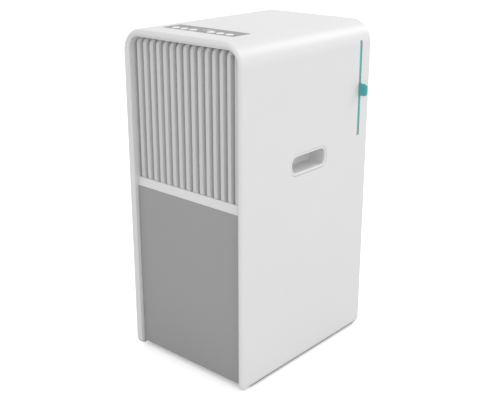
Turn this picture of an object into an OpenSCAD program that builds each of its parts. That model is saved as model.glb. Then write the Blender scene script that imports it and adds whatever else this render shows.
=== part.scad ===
// Household dehumidifier: a white shell with a pull-out water bucket behind the
// flat lower front, louvres above it, a touch strip on top and a filter that
// slides out of the right side. Z is up, the front faces -Y, and the origin is
// the middle of the base pan's underside. The casters reach below it.

/* [Body] */
// Width of the shell
body_w = 278; // [240:1:340]
// Depth of the shell, front to back
body_d = 364; // [350:1:440]
// Height of the shell
body_h = 620; // [515:1:750]
// Radius of the two long edges along the top
corner_r = 42; // [30:1:55]
// Thickness of the shell's walls
shell_wall = 3; // [2:0.5:4]

/* [Front] */
// Width of the front lip down each side
lip_side = 11.5; // [9:0.5:15]
// Width of the front lip across the top
lip_top = 14; // [11:0.5:20]
// Inner corner radius of the front lip
lip_inner_r = 22; // [14:1:28]
// Depth of the thick front lip
lip_depth = 16; // [12:1:20]
// How far the bucket's front sits behind the lip
panel_recess = 11; // [6:0.5:14]
// Gap under the bucket's front
panel_gap = 5.5; // [4:0.5:10]
// Height of the bucket's front
panel_h = 322.5; // [300:0.5:340]
// Thickness of the bucket's front
panel_t = 3; // [2:0.5:5]
// Height of the sloped sill above the bucket
sill_h = 16; // [10:1:24]
// Number of upright louvres
fin_count = 15; // [11:1:17]
// Thickness of a louvre
fin_t = 8; // [4:0.5:10]
// Front-to-back depth of a louvre
fin_depth = 20; // [14:1:26]
// How far the louvres sit behind the lip
fin_recess = 14.6; // [12:0.2:18]

/* [Handles] */
// Length of the grip opening
grip_w = 94; // [80:1:120]
// Height of the grip opening
grip_h = 29; // [24:1:36]
// Depth of the grip pocket
grip_depth = 36; // [25:1:40]
// Height of the grips' centre line
grip_z = 389; // [370:1:410]
// Width of the bezel round the opening
bezel_w = 5.5; // [4:0.5:8]

/* [Controls] */
// Length of the control strip
strip_w = 168; // [160:1:190]
// Width of the control strip, front to back
strip_d = 45; // [42:1:60]
// Distance of the strip from the front
strip_back = 43; // [36:1:60]
// Diameter of a button
button_d = 14.5; // [12:0.5:16]
// Distance between two buttons
button_pitch = 21; // [18:0.5:22]
// Travel of a button
button_travel = 0.8; // [0.5:0.1:1.2]

/* [Filter] */
// Distance between the filter slot's upper end and the top of the shell
filter_drop = 35; // [30:1:70]
// Thickness of the filter frame
filter_t = 6; // [5:0.5:9]
// Gap between the filter slot's lower end and the grip's centre line
filter_rise = 18; // [16:1:30]
// Distance of the filter slot from the rear
filter_back = 28; // [22:1:34]
// How far the pull tab stands out
tab_out = 16.5; // [12:0.5:30]
// Height of the pull tab
tab_h = 25; // [18:1:32]

/* [Bucket] */
// Depth of the water bucket
tank_d = 182; // [150:1:190]
// Height of the water bucket
tank_h = 206; // [170:1:210]
// Thickness of the bucket's walls
tank_wall = 2.5; // [2:0.5:4]
// Length of the bucket handle's arms
bail_arm = 62; // [50:1:66]

/* [Casters] */
// Radius of a caster wheel
wheel_r = 11.5; // [11:0.5:15]
// How far the wheels stand below the base
wheel_drop = 5; // [4:0.5:12]
// Distance between the wheel and its swivel axis
caster_trail = 8; // [6:0.5:9]

/* [Works] */
// Thickness of the evaporator and the condenser
coil_t = 26; // [20:1:30]
// Radius of the coil tubes
coil_tube_r = 4; // [3:0.5:5]
// Rows of coil tubes
coil_rows = 7; // [5:1:8]
// Number of fin plates on a coil
fin_sheets = 24; // [16:1:30]
// Thickness of a fin plate
fin_sheet = 0.8; // [0.5:0.1:1.2]
// Number of fan blades
blade_count = 7; // [5:1:9]
// Radius of the compressor
compressor_r = 52; // [44:1:56]
// Height of the compressor
compressor_h = 170; // [140:1:190]
// Inner radius of the drain outlet
drain_r = 6.5; // [5:0.5:8]
// Inner radius of the mains cord's gland
gland_r = 4; // [3:0.25:5]

/* [Hidden] */
$fn = 64;

// Gap between two moulded parts that fit into each other
fit = 0.3;
// Gap round a part that slides or swings
slide_gap = 0.5;
// Radial clearance of a shaft that turns in its hole
running = 0.05;
// Thickness of the inner moulded walls
sheet = 3;
// Overshoot of a cut
eps = 1;

half_w = body_w / 2;
front_y = -body_d / 2;
rear_y = body_d / 2;
inner_x = half_w - shell_wall;
inner_top = body_h - shell_wall;
room_x = inner_x - fit;

// Front
lip_x = half_w - lip_side;
lip_back = front_y + lip_depth;
panel_y = front_y + panel_recess;
panel_top = panel_gap + panel_h;
louvre_z = panel_top + sill_h;
louvre_top = body_h - lip_top;
fin_y = front_y + fin_recess;
fin_margin = 7.5;
fin_pitch = 2 * (lip_x - fin_margin) / (fin_count - 0.5);
grille_back = fin_y + fin_depth;
ledge_gap = 1;

// Rear and decks
rear_recess = 3;
rear_face = rear_y - rear_recess;
rear_in = rear_face - sheet;
deck_top = panel_top + 12;
pan_front = panel_y + 16;
wall_y = front_y + panel_recess + panel_t + tank_d + 12;
screw_x = room_x - 60;
screw_z = [20, deck_top - 8];
port_x = inner_x - 34;
drain_z = deck_top + drain_r + 6.5;
gland_z = 90;

// Strip and buttons
strip_flange = 4;
strip_t = 2.6;
strip_top = body_h - 0.4;
strip_front = front_y + strip_back;
button_y = strip_front + 14;
button_r = button_d / 2;
button_gap = 0.3;
button_proud = 1.1;
button_flange = 1.2;
board_t = 1.6;
board_drop = 10.5;
board_z = inner_top - sheet - board_drop;
switch_h = 3.5;
button_x = [for (i = [-3, -2, -1, 1, 2, 3]) i * button_pitch];

// Filter
filter_y = rear_y - filter_back - filter_t;
filter_z = grip_z + filter_rise;
slot_gap = 0.75;
filter_top = body_h - filter_drop;
filter_h = filter_top - filter_z;
frame_bar = 10;
tab_t = 5;
tab_z = filter_z + 0.49 * filter_h - tab_h / 2;

// Coils and fan, stacked forward from the filter
coil_gap = 6;
evap_y = filter_y - coil_gap - coil_t;
cond_y = evap_y - coil_gap - coil_t;
shroud_y = cond_y - 9 - sheet;
tray_h = 22;
channel_w = 28;
channel_h = 12;
pipe_r = 4;
pipe_x = inner_x - 12;
coil_z = deck_top + tray_h + 2;
coil_h = inner_top - 14 - coil_z;
coil_x = inner_x - 26;
duct_z = coil_z + coil_h / 2;
duct_r = min(coil_h / 2 - 8, coil_x - 4);
fan_gap = 4;
fan_r = duct_r - fan_gap;
fan_depth = 22;
fan_back = shroud_y - 5;
fan_front = fan_back - fan_depth;
hub_r = 26;
shaft_r = 4;
motor_r = 36;
motor_l = 44;
motor_back = fan_front - 6;
motor_front = motor_back - motor_l;

// Casters
floor_z = -wheel_drop;
wheel_z = floor_z + wheel_r;
wheel_w = 12;
fork_gap = 0.6;
fork_t = 2.6;
axle_r = 2;
crown_z = wheel_z + wheel_r + 2;
crown_t = 3;
stem_r = 4;
stem_l = 13;
well_r = caster_trail + wheel_r + 4;
well_z = crown_z + crown_t + 1;
caster_x = inner_x - well_r - 8;
caster_y = [pan_front + well_r + 6, rear_in - well_r - 8];

// Bucket
tank_x = lip_x - 9.5;
tank_z = well_z + stem_l + 7;
tank_top = tank_z + tank_h;
tank_front = panel_y + panel_t;
tank_back = tank_front + tank_d;
lid_t = 3;
lid_hole_r = 20;
spout_y = tank_back - 56;
bail_z = tank_top + lid_t + 6;
bail_y = (tank_front + tank_back) / 2;
bail_t = 6;
bail_pin_r = 3;
float_x = 70;
float_w = 40;
float_z = tank_top - 28;
float_y = tank_back - tank_wall - 10;
float_pin_r = 2;

// Compressor
comp_x = -inner_x + compressor_r + 22;
comp_y = (wall_y + sheet + rear_in) / 2 + 1;
comp_z = well_z + 26;
stud_ring = compressor_r + 10;
stud_angles = [60, 180, 300];
acc_r = 20;
acc_x = comp_x + compressor_r + acc_r + 8;
suction_y = evap_y + coil_t / 2;
discharge_y = cond_y + coil_t / 2;
inlet_z = coil_z + 0.5 * coil_h / coil_rows;
outlet_z = coil_z + (coil_rows - 0.5) * coil_h / coil_rows;

// A block between two opposite corners
module block(lo, hi) translate(lo) cube(hi - lo);
// A flat outline in X and Z, drawn out from y0 to y1
module along_y(y0, y1) translate([0, y1, 0]) rotate([90, 0, 0]) linear_extrude(height = y1 - y0) children();
// A flat outline in Y and Z, drawn out from x0 to x1
module along_x(x0, x1) translate([x0, 0, 0]) rotate([90, 0, 90]) linear_extrude(height = x1 - x0) children();
module rod_x(r, x0, x1, y, z) translate([x0, y, z]) rotate([0, 90, 0]) cylinder(r = r, h = x1 - x0);
module rod_y(r, y0, y1, x, z) translate([x, y1, z]) rotate([90, 0, 0]) cylinder(r = r, h = y1 - y0);
module rod_z(r, z0, z1, x, y) translate([x, y, z0]) cylinder(r = r, h = z1 - z0);
// A rectangle with round corners, centred
module round_rect(w, h, r) {
    square([w - 2 * r, h], center = true);
    square([w, h - 2 * r], center = true);
    for (x = [-1, 1], y = [-1, 1]) translate([x * (w / 2 - r), y * (h / 2 - r)]) circle(r);
}
// The shell's outline, drawn in by inset, with its lower edge at foot
module arch(inset, foot = 0) {
    w = half_w - inset;
    top = body_h - inset;
    r = corner_r - inset;
    translate([-w, foot]) square([2 * w, top - r - foot]);
    translate([r - w, foot]) square([2 * (w - r), top - foot]);
    for (s = [-1, 1]) translate([s * (w - r), top - r]) circle(r);
}
// The opening inside the front lip, open at the bottom
module lip_opening() {
    r = lip_inner_r;
    translate([-lip_x, -eps]) square([2 * lip_x, louvre_top - r + eps]);
    translate([r - lip_x, -eps]) square([2 * (lip_x - r), louvre_top + eps]);
    for (s = [-1, 1]) translate([s * (lip_x - r), louvre_top - r]) circle(r);
}
// A pipe of straight runs with ball corners
module pipe_run(points, r) {
    for (i = [0 : len(points) - 2]) {
        d = points[i + 1] - points[i];
        l = norm(d);
        translate(points[i]) rotate([0, acos(d.z / l), atan2(d.y, d.x)]) cylinder(r = r, h = l);
    }
    for (i = [1 : len(points) - 2]) translate(points[i]) sphere(r);
}

module outer_shell() color([0.93, 0.93, 0.93]) difference() {
    along_y(front_y, rear_y) arch(0);
    along_y(lip_back, rear_y + eps) arch(shell_wall, -eps);
    along_y(front_y - eps, lip_back + eps) lip_opening();
    for (s = [-1, 1]) translate([0, 0, grip_z])
        along_x(s * half_w - 2 * shell_wall, s * half_w + 2 * shell_wall)
            round_rect(grip_w + 2 * (bezel_w + fit), grip_h + 2 * (bezel_w + fit), grip_h / 2 + bezel_w - 2);
    block([inner_x - eps, filter_y - slot_gap, filter_z - slot_gap],
        [half_w + eps, filter_y + filter_t + slot_gap, filter_top + slot_gap]);
    translate([0, strip_front + strip_d / 2, inner_top - eps])
        linear_extrude(height = shell_wall + 2 * eps) round_rect(strip_w + 2 * fit, strip_d + 2 * fit, 3 + fit);
}

module handle_cup(side) {
    skin = 2;
    rim_r = grip_h / 2 + bezel_w - 2;
    mirror([side < 0 ? 1 : 0, 0, 0]) translate([0, 0, grip_z]) difference() {
        union() {
            along_x(half_w - grip_depth - skin, half_w)
                round_rect(grip_w + 2 * bezel_w, grip_h + 2 * bezel_w, rim_r - fit);
            along_x(inner_x - skin, inner_x)
                round_rect(grip_w + 4 * bezel_w, grip_h + 4 * bezel_w, rim_r + bezel_w);
        }
        along_x(half_w - grip_depth, half_w + eps) round_rect(grip_w, grip_h, grip_h / 2 - 4);
    }
}
module handle_cup_right() color([0.93, 0.93, 0.93]) handle_cup(1);
module handle_cup_left() color([0.93, 0.93, 0.93]) handle_cup(-1);

module front_grille() color([0.86, 0.86, 0.86]) {
    difference() {
        along_y(lip_back, grille_back) intersection() {
            arch(shell_wall + fit);
            translate([-room_x, panel_top + ledge_gap]) square([2 * room_x, body_h]);
        }
        along_y(lip_back - eps, grille_back + eps) intersection() {
            lip_opening();
            translate([-lip_x, louvre_z]) square([2 * lip_x, body_h]);
        }
        block([-tank_x - bail_t - 4, lip_back - eps, panel_top],
            [tank_x + bail_t + 4, grille_back + eps, panel_top + ledge_gap + eps]);
    }
    // Sloped sill over the bucket
    along_x(-lip_x + fit, lip_x - fit) polygon([[panel_y + 0.5, panel_top + ledge_gap], [lip_back, panel_top + ledge_gap],
        [lip_back, louvre_z], [fin_y, louvre_z], [panel_y + 0.5, panel_top + ledge_gap + 2.5]]);
    // Upright louvres
    intersection() {
        along_y(fin_y, grille_back) intersection() {
            lip_opening();
            translate([-lip_x, louvre_z]) square([2 * lip_x, body_h]);
        }
        for (i = [0 : fin_count - 1])
            translate([(i - (fin_count - 1) / 2) * fin_pitch - fin_t / 2, fin_y, louvre_z]) cube([fin_t, fin_depth, body_h]);
    }
}

module base_pan() color([0.3, 0.3, 0.32]) difference() {
    union() {
        block([-room_x, pan_front, 0], [room_x, rear_in, sheet]);
        for (x = [-1, 1], y = caster_y) {
            rod_z(well_r + sheet, 0, well_z + sheet, x * caster_x, y);
            rod_z(stem_r + 4, well_z, well_z + stem_l + 2, x * caster_x, y);
        }
        // Rails that carry the bucket
        for (x = [-1, 1]) block([x * tank_x / 2 - 4, pan_front, 0], [x * tank_x / 2 + 4, wall_y, tank_z - fit]);
        // Pads under the compressor
        for (a = stud_angles)
            rod_z(9, 0, comp_z - 12, comp_x + stud_ring * cos(a), comp_y + stud_ring * sin(a));
        // Rear flange for the rear panel
        block([-room_x, rear_in - sheet, 0], [room_x, rear_in, 30]);
        for (x = [-1, 1]) rod_y(6, rear_in - 14, rear_in, x * screw_x, screw_z[0]);
    }
    for (x = [-1, 1], y = caster_y) {
        rod_z(well_r, -eps, well_z, x * caster_x, y);
        rod_z(stem_r + running, well_z - eps, well_z + stem_l, x * caster_x, y);
    }
    for (a = stud_angles)
        rod_z(3, comp_z - 26, comp_z - 12 + eps, comp_x + stud_ring * cos(a), comp_y + stud_ring * sin(a));
    for (x = [-1, 1]) rod_y(1.75, rear_in - 12, rear_in + eps, x * screw_x, screw_z[0]);
}

module caster_fork(x, y) color([0.2, 0.2, 0.22]) translate([x, y, 0]) {
    difference() {
        union() {
            rod_z(11, crown_z, crown_z + crown_t, 0, 0);
            block([-wheel_w / 2 - fork_gap - fork_t, -5, crown_z], [wheel_w / 2 + fork_gap + fork_t, caster_trail + 5, crown_z + crown_t]);
            for (s = [-1, 1]) mirror([s < 0 ? 1 : 0, 0, 0])
                along_x(wheel_w / 2 + fork_gap, wheel_w / 2 + fork_gap + fork_t) {
                    translate([caster_trail - 5, wheel_z]) square([10, crown_z + crown_t - wheel_z]);
                    translate([caster_trail, wheel_z]) circle(5);
                }
            rod_z(stem_r, crown_z, crown_z + crown_t + stem_l, 0, 0);
        }
        rod_x(axle_r, -wheel_w, wheel_w, caster_trail, wheel_z);
    }
    rod_x(axle_r, -wheel_w / 2 - fork_gap - fork_t, wheel_w / 2 + fork_gap + fork_t, caster_trail, wheel_z);
}
module caster_fork_fr() caster_fork(caster_x, caster_y[0]);
module caster_fork_fl() caster_fork(-caster_x, caster_y[0]);
module caster_fork_rr() caster_fork(caster_x, caster_y[1]);
module caster_fork_rl() caster_fork(-caster_x, caster_y[1]);

module caster_wheel(x, y) color([0.25, 0.25, 0.27]) translate([x, y + caster_trail, wheel_z]) rotate([0, 90, 0])
    rotate_extrude() polygon([[axle_r + running, -wheel_w / 2], [wheel_r - 1.5, -wheel_w / 2], [wheel_r, 1.5 - wheel_w / 2],
        [wheel_r, wheel_w / 2 - 1.5], [wheel_r - 1.5, wheel_w / 2], [axle_r + running, wheel_w / 2]]);
module caster_wheel_fr() caster_wheel(caster_x, caster_y[0]);
module caster_wheel_fl() caster_wheel(-caster_x, caster_y[0]);
module caster_wheel_rr() caster_wheel(caster_x, caster_y[1]);
module caster_wheel_rl() caster_wheel(-caster_x, caster_y[1]);

module rear_panel() color([0.9, 0.9, 0.9]) {
    slat_pitch = 11;
    slat_gap = 6;
    intake_x = coil_x - 6;
    intake_z = filter_z + frame_bar;
    rows = floor((filter_h - 2 * frame_bar) / slat_pitch);
    // Ledges that guide the filter
    for (z = [filter_z - slide_gap - sheet, filter_top + slide_gap])
        block([-room_x + 8, filter_y - 2, z], [room_x - 8, rear_in, z + sheet]);
    difference() {
        along_y(rear_in, rear_face) arch(shell_wall + fit, fit);
        for (i = [0 : rows - 1], s = [-1, 1])
            translate([s > 0 ? 3 : -intake_x, rear_in - eps, intake_z + i * slat_pitch])
                cube([intake_x - 3, sheet + 2 * eps, slat_gap]);
        for (x = [-1, 1], z = screw_z) rod_y(2, rear_in - eps, rear_face + eps, x * screw_x, z);
        rod_y(drain_r + 3.5, rear_in - eps, rear_face + eps, port_x, drain_z);
        rod_y(gland_r + 3, rear_in - eps, rear_face + eps, port_x, gland_z);
    }
}
module rear_screws() color([0.5, 0.5, 0.52]) for (x = [-1, 1], z = screw_z) {
    rod_y(1.75, rear_in - 12, rear_face, x * screw_x, z);
    rod_y(3.6, rear_face, rear_face + 2.2, x * screw_x, z);
}
module drain_spigot() color([0.8, 0.8, 0.8]) difference() {
    union() {
        rod_y(drain_r + 3.2, rear_in - 16, rear_face + 2, port_x, drain_z);
        rod_y(drain_r + 6, rear_in - 3, rear_in, port_x, drain_z);
    }
    rod_y(drain_r, rear_in - 16 - eps, rear_face + 2 + eps, port_x, drain_z);
}
module cord_gland() color([0.15, 0.15, 0.15]) difference() {
    union() {
        rod_y(gland_r + 2.7, rear_in - 8, rear_face + 2.5, port_x, gland_z);
        rod_y(gland_r + 5, rear_in - 3, rear_in, port_x, gland_z);
        rod_y(gland_r + 5, rear_face, rear_face + 2.5, port_x, gland_z);
    }
    rod_y(gland_r, rear_in - 8 - eps, rear_face + 2.5 + eps, port_x, gland_z);
}

module partition_wall() color([0.75, 0.75, 0.76])
    block([-room_x, wall_y, sheet], [room_x, wall_y + sheet, deck_top - sheet]);
module mid_deck() color([0.75, 0.75, 0.76]) difference() {
    union() {
        block([-room_x, grille_back, deck_top - sheet], [room_x, rear_in, deck_top]);
        for (x = [-1, 1]) rod_y(6, rear_in - 14, rear_in, x * screw_x, screw_z[1]);
    }
    rod_z(9, deck_top - 2 * sheet, deck_top + eps, 0, spout_y);
    for (x = [-1, 1]) rod_y(1.75, rear_in - 12, rear_in + eps, x * screw_x, screw_z[1]);
    for (y = [comp_y, suction_y]) rod_z(pipe_r + 2, deck_top - 2 * sheet, deck_top + eps, pipe_x, y);
}
module drip_tray() color([0.8, 0.8, 0.8]) difference() {
    union() {
        block([-coil_x - 4, cond_y - 4, deck_top], [coil_x + 4, evap_y + coil_t + 4, deck_top + tray_h]);
        block([-channel_w / 2, spout_y - 14, deck_top], [channel_w / 2, cond_y, deck_top + channel_h]);
        rod_z(8.5, deck_top - 10, deck_top + channel_h, 0, spout_y);
    }
    block([-coil_x - 2, cond_y - 2, deck_top + 3], [coil_x + 2, evap_y + coil_t + 2, deck_top + tray_h + eps]);
    block([-channel_w / 2 + 4, spout_y - 10, deck_top + 4], [channel_w / 2 - 4, cond_y, deck_top + channel_h + eps]);
    rod_z(6, deck_top - 10 - eps, deck_top + 5, 0, spout_y);
}

// One tube that winds up through a coil, shared by both coils
module coil_tubes(y) pipe_run([for (i = [0 : coil_rows - 1], end = [-1, 1])
    [(i % 2 == 0 ? end : -end) * (coil_x + 4), y + coil_t / 2, coil_z + (i + 0.5) * coil_h / coil_rows]], coil_tube_r);
// Spaced plates pressed onto the tube, with a taller plate at each end
module coil_fins(y) difference() {
    span = 2 * (coil_x - 6) - fin_sheet;
    union() {
        for (i = [0 : fin_sheets - 1]) translate([i * span / (fin_sheets - 1) - span / 2 - fin_sheet / 2, y, coil_z])
            cube([fin_sheet, coil_t, coil_h]);
        for (s = [-1, 1]) block([s * (coil_x - 3) - 1, y, coil_z - 20], [s * (coil_x - 3) + 1, y + coil_t, coil_z + coil_h]);
    }
    for (i = [0 : coil_rows - 1]) rod_x(coil_tube_r, -coil_x, coil_x, y + coil_t / 2, coil_z + (i + 0.5) * coil_h / coil_rows);
}
module evaporator_fins() color([0.8, 0.8, 0.82]) coil_fins(evap_y);
module evaporator_tubes() color([0.72, 0.45, 0.3]) coil_tubes(evap_y);
module condenser_fins() color([0.8, 0.8, 0.82]) coil_fins(cond_y);
module condenser_tubes() color([0.72, 0.45, 0.3]) coil_tubes(cond_y);

module fan_shroud() color([0.3, 0.3, 0.32]) difference() {
    union() {
        along_y(shroud_y, shroud_y + sheet) intersection() {
            arch(shell_wall + fit);
            translate([-room_x, deck_top]) square([2 * room_x, body_h]);
        }
        rod_y(duct_r + sheet, fan_front - 2, shroud_y, 0, duct_z);
    }
    block([-channel_w / 2 - 1, shroud_y - eps, deck_top - eps], [channel_w / 2 + 1, shroud_y + sheet + eps, deck_top + channel_h + 1]);
    rod_y(duct_r, fan_front - 2 - eps, shroud_y + sheet + eps, 0, duct_z);
}
module fan_wheel() color([0.35, 0.35, 0.37]) difference() {
    union() {
        rod_y(hub_r, fan_front, fan_back, 0, duct_z);
        intersection() {
            rod_y(fan_r, fan_front, fan_back, 0, duct_z);
            for (i = [0 : blade_count - 1])
                translate([0, (fan_front + fan_back) / 2, duct_z]) rotate([0, i * 360 / blade_count, 0])
                    rotate([0, 0, 28]) translate([-22, -1.25, hub_r - 6]) cube([44, 2.5, fan_r]);
        }
    }
    rod_y(shaft_r, fan_front - eps, fan_back + eps, 0, duct_z);
}
module motor_shaft() color([0.7, 0.7, 0.72]) rod_y(shaft_r, motor_front + 4, fan_back, 0, duct_z);
module fan_motor() color([0.4, 0.4, 0.42]) difference() {
    union() {
        rod_y(motor_r, motor_front, motor_back, 0, duct_z);
        rod_y(12, motor_back, motor_back + 3, 0, duct_z);
    }
    rod_y(shaft_r + running, motor_front + 3, motor_back + 3 + eps, 0, duct_z);
}
module motor_bracket() color([0.6, 0.6, 0.62]) difference() {
    leg = duct_r + sheet + 3;
    union() {
        block([-leg - 8, motor_front - sheet, duct_z - 10], [leg + 8, motor_front, duct_z + 10]);
        for (s = [-1, 1]) block([s * (leg + 4) - 4, motor_front - sheet, duct_z - 10], [s * (leg + 4) + 4, shroud_y, duct_z + 10]);
    }
    rod_y(6, motor_front - sheet - eps, motor_front + eps, 0, duct_z);
}

module compressor() color([0.12, 0.12, 0.13]) {
    dome = 1.4 * compressor_r;
    dome_h = dome - sqrt(dome * dome - compressor_r * compressor_r);
    shoulder = comp_z + compressor_h - dome_h;
    rod_z(compressor_r, comp_z, shoulder, comp_x, comp_y);
    intersection() {
        rod_z(compressor_r, shoulder, comp_z + compressor_h, comp_x, comp_y);
        translate([comp_x, comp_y, comp_z + compressor_h - dome]) sphere(dome, $fn = 96);
    }
    rod_z(compressor_r + 2, shoulder - 12, shoulder - 6, comp_x, comp_y);
    difference() {
        for (a = stud_angles) translate([comp_x, comp_y, comp_z]) rotate(a)
            translate([0, -7, 0]) cube([stud_ring + 7, 14, 3]);
        for (a = stud_angles)
            rod_z(5, comp_z - eps, comp_z + 3 + eps, comp_x + stud_ring * cos(a), comp_y + stud_ring * sin(a));
    }
    rod_z(3, comp_z + compressor_h - 20, comp_z + compressor_h + 8, comp_x, comp_y);
}
module at_studs() for (a = stud_angles) translate([comp_x + stud_ring * cos(a), comp_y + stud_ring * sin(a), comp_z]) children();
module compressor_grommets() color([0.2, 0.2, 0.2]) at_studs() difference() {
    union() {
        rod_z(9, -12, 0, 0, 0);
        rod_z(5, 0, 3, 0, 0);
        rod_z(8, 3, 6, 0, 0);
    }
    rod_z(3, -12 - eps, 6 + eps, 0, 0);
}
module compressor_bolts() color([0.6, 0.6, 0.6]) at_studs() {
    rod_z(3, -24, 6, 0, 0);
    translate([0, 0, 6]) cylinder(r = 6, h = 4, $fn = 6);
}
module accumulator() color([0.72, 0.45, 0.3]) {
    rod_z(acc_r, comp_z + 20, comp_z + 120, acc_x, comp_y);
    translate([acc_x, comp_y, comp_z + 120]) sphere(acc_r);
    translate([acc_x, comp_y, comp_z + 20]) sphere(acc_r);
    block([comp_x + compressor_r + fit, comp_y - 6, comp_z + 60], [acc_x, comp_y + 6, comp_z + 66]);
}
module terminal_cover() color([0.15, 0.15, 0.16]) difference() {
    block([comp_x - 18, comp_y - compressor_r - 10, comp_z + 50], [comp_x + 18, comp_y - compressor_r / 2, comp_z + 96]);
    rod_z(compressor_r + fit, comp_z, comp_z + compressor_h, comp_x, comp_y);
}
module suction_pipe() color([0.72, 0.45, 0.3]) pipe_run([[acc_x, comp_y, comp_z + 120 + acc_r],
    [acc_x, comp_y, comp_z + 168], [acc_x, suction_y, comp_z + 168], [pipe_x, suction_y, comp_z + 168],
    [pipe_x, suction_y, outlet_z], [coil_x + 4, suction_y, outlet_z]], pipe_r);
module discharge_pipe() color([0.72, 0.45, 0.3]) pipe_run([[comp_x, comp_y, comp_z + compressor_h + 8],
    [comp_x, comp_y, comp_z + compressor_h + 20], [pipe_x, comp_y, comp_z + compressor_h + 20],
    [pipe_x, comp_y, deck_top + 20], [pipe_x, discharge_y, deck_top + 20], [pipe_x, discharge_y, outlet_z],
    [coil_x + 4, discharge_y, outlet_z]], pipe_r);
module capillary_tube() color([0.72, 0.45, 0.3]) pipe_run([[-coil_x - 4, discharge_y, inlet_z],
    [-coil_x - 14, discharge_y, inlet_z], [-coil_x - 14, discharge_y, inlet_z - 12], [-coil_x - 14, suction_y, inlet_z - 12],
    [-coil_x - 14, suction_y, inlet_z], [-coil_x - 4, suction_y, inlet_z]], 1.5);

module electronics_box() color([0.85, 0.85, 0.86]) difference() {
    block([inner_x - 78, wall_y + sheet, 150], [inner_x - 8, wall_y + sheet + 44, 290]);
    block([inner_x - 76, wall_y + sheet + 2, 152], [inner_x - 10, wall_y + sheet + 44 + eps, 288]);
}
module run_capacitor() color([0.8, 0.8, 0.8]) rod_z(16, 152, 222, inner_x - 56, wall_y + sheet + 22);
module level_switch() color([0.2, 0.2, 0.22])
    block([float_x - 10, wall_y - 8, float_z - 10], [float_x + 10, wall_y, float_z + 20]);
module humidity_sensor() color([0.2, 0.5, 0.3])
    block([room_x - 60, rear_in - 6, filter_z - 40], [room_x - 34, rear_in, filter_z - 12]);

module control_strip() color([0.76, 0.76, 0.76]) difference() {
    mid_y = strip_front + strip_d / 2;
    union() {
        translate([0, mid_y, inner_top]) linear_extrude(height = strip_top - inner_top) round_rect(strip_w, strip_d, 3);
        translate([0, mid_y, inner_top - sheet]) linear_extrude(height = sheet)
            round_rect(strip_w + 2 * strip_flange, strip_d + 2 * strip_flange, 4);
        for (x = [-1, 1], y = [-1, 1])
            rod_z(3, board_z + board_t, inner_top - sheet, x * (strip_w / 2 - 7), mid_y + y * (strip_d / 2 - 7));
    }
    for (x = button_x) {
        rod_z(button_r + button_gap, inner_top - strip_t + button_flange, strip_top + eps, x, button_y);
        rod_z(button_r + 1.5 + button_gap, inner_top - sheet - eps, inner_top - strip_t + button_flange, x, button_y);
    }
    translate([0, strip_front + 32, strip_top - 1.5]) linear_extrude(height = 1.5 + eps) square([26.2, 14.2], center = true);
    for (x = [button_x[2], button_x[5]]) rod_z(1.25, inner_top - sheet - eps, strip_top + eps, x, strip_front + 29);
}
module display_window() color([0.7, 0.7, 0.7])
    translate([0, strip_front + 32, strip_top - 1.5]) linear_extrude(height = 1.5) square([26, 14], center = true);
module status_leds() color([0.95, 0.95, 0.9]) for (x = [button_x[2], button_x[5]])
    rod_z(1.25, inner_top - sheet, strip_top + 0.2, x, strip_front + 29);
module control_board() color([0.1, 0.4, 0.2]) {
    block([-strip_w / 2 + 2, strip_front + 2, board_z], [strip_w / 2 - 2, strip_front + strip_d - 2, board_z + board_t]);
    for (x = button_x) block([x - 3, button_y - 3, board_z + board_t], [x + 3, button_y + 3, board_z + board_t + switch_h]);
}
module button(i) color([0.97, 0.97, 0.97]) {
    seat = inner_top - strip_t + button_flange - button_gap;
    rod_z(button_r, seat - button_flange, strip_top + button_proud, button_x[i], button_y);
    rod_z(button_r + 1.5, seat - button_flange, seat, button_x[i], button_y);
    rod_z(2, board_z + board_t + switch_h + button_travel + button_gap, seat, button_x[i], button_y);
}
module button_1() button(0);
module button_2() button(1);
module button_3() button(2);
module button_4() button(3);
module button_5() button(4);
module button_6() button(5);

module filter_frame() color([0.3, 0.67, 0.67]) {
    difference() {
        block([-room_x + 4, filter_y, filter_z], [half_w - 0.8, filter_y + filter_t, filter_top]);
        block([-room_x + 4 + frame_bar, filter_y - eps, filter_z + frame_bar],
            [half_w - 0.8 - frame_bar, filter_y + filter_t + eps, filter_top - frame_bar]);
    }
    translate([0, filter_y + filter_t / 2, tab_z + tab_h / 2]) rotate([90, 0, 0])
        translate([0, 0, -tab_t / 2]) linear_extrude(height = tab_t) {
            translate([half_w - frame_bar, -tab_h / 2]) square([frame_bar + tab_out - 6, tab_h]);
            translate([half_w - frame_bar, -tab_h / 2 + 6]) square([frame_bar + tab_out, tab_h - 12]);
            for (s = [-1, 1]) translate([half_w + tab_out - 6, s * (tab_h / 2 - 6)]) circle(6);
        }
    for (x = [-40, 40]) block([x - 1.5, filter_y + 1, filter_z + frame_bar], [x + 1.5, filter_y + 3, filter_top - frame_bar]);
}
module filter_mesh() color([0.3, 0.3, 0.32]) block([-room_x + 4 + frame_bar, filter_y + 3, filter_z + frame_bar],
    [half_w - 0.8 - frame_bar, filter_y + 4, filter_top - frame_bar]);

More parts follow.
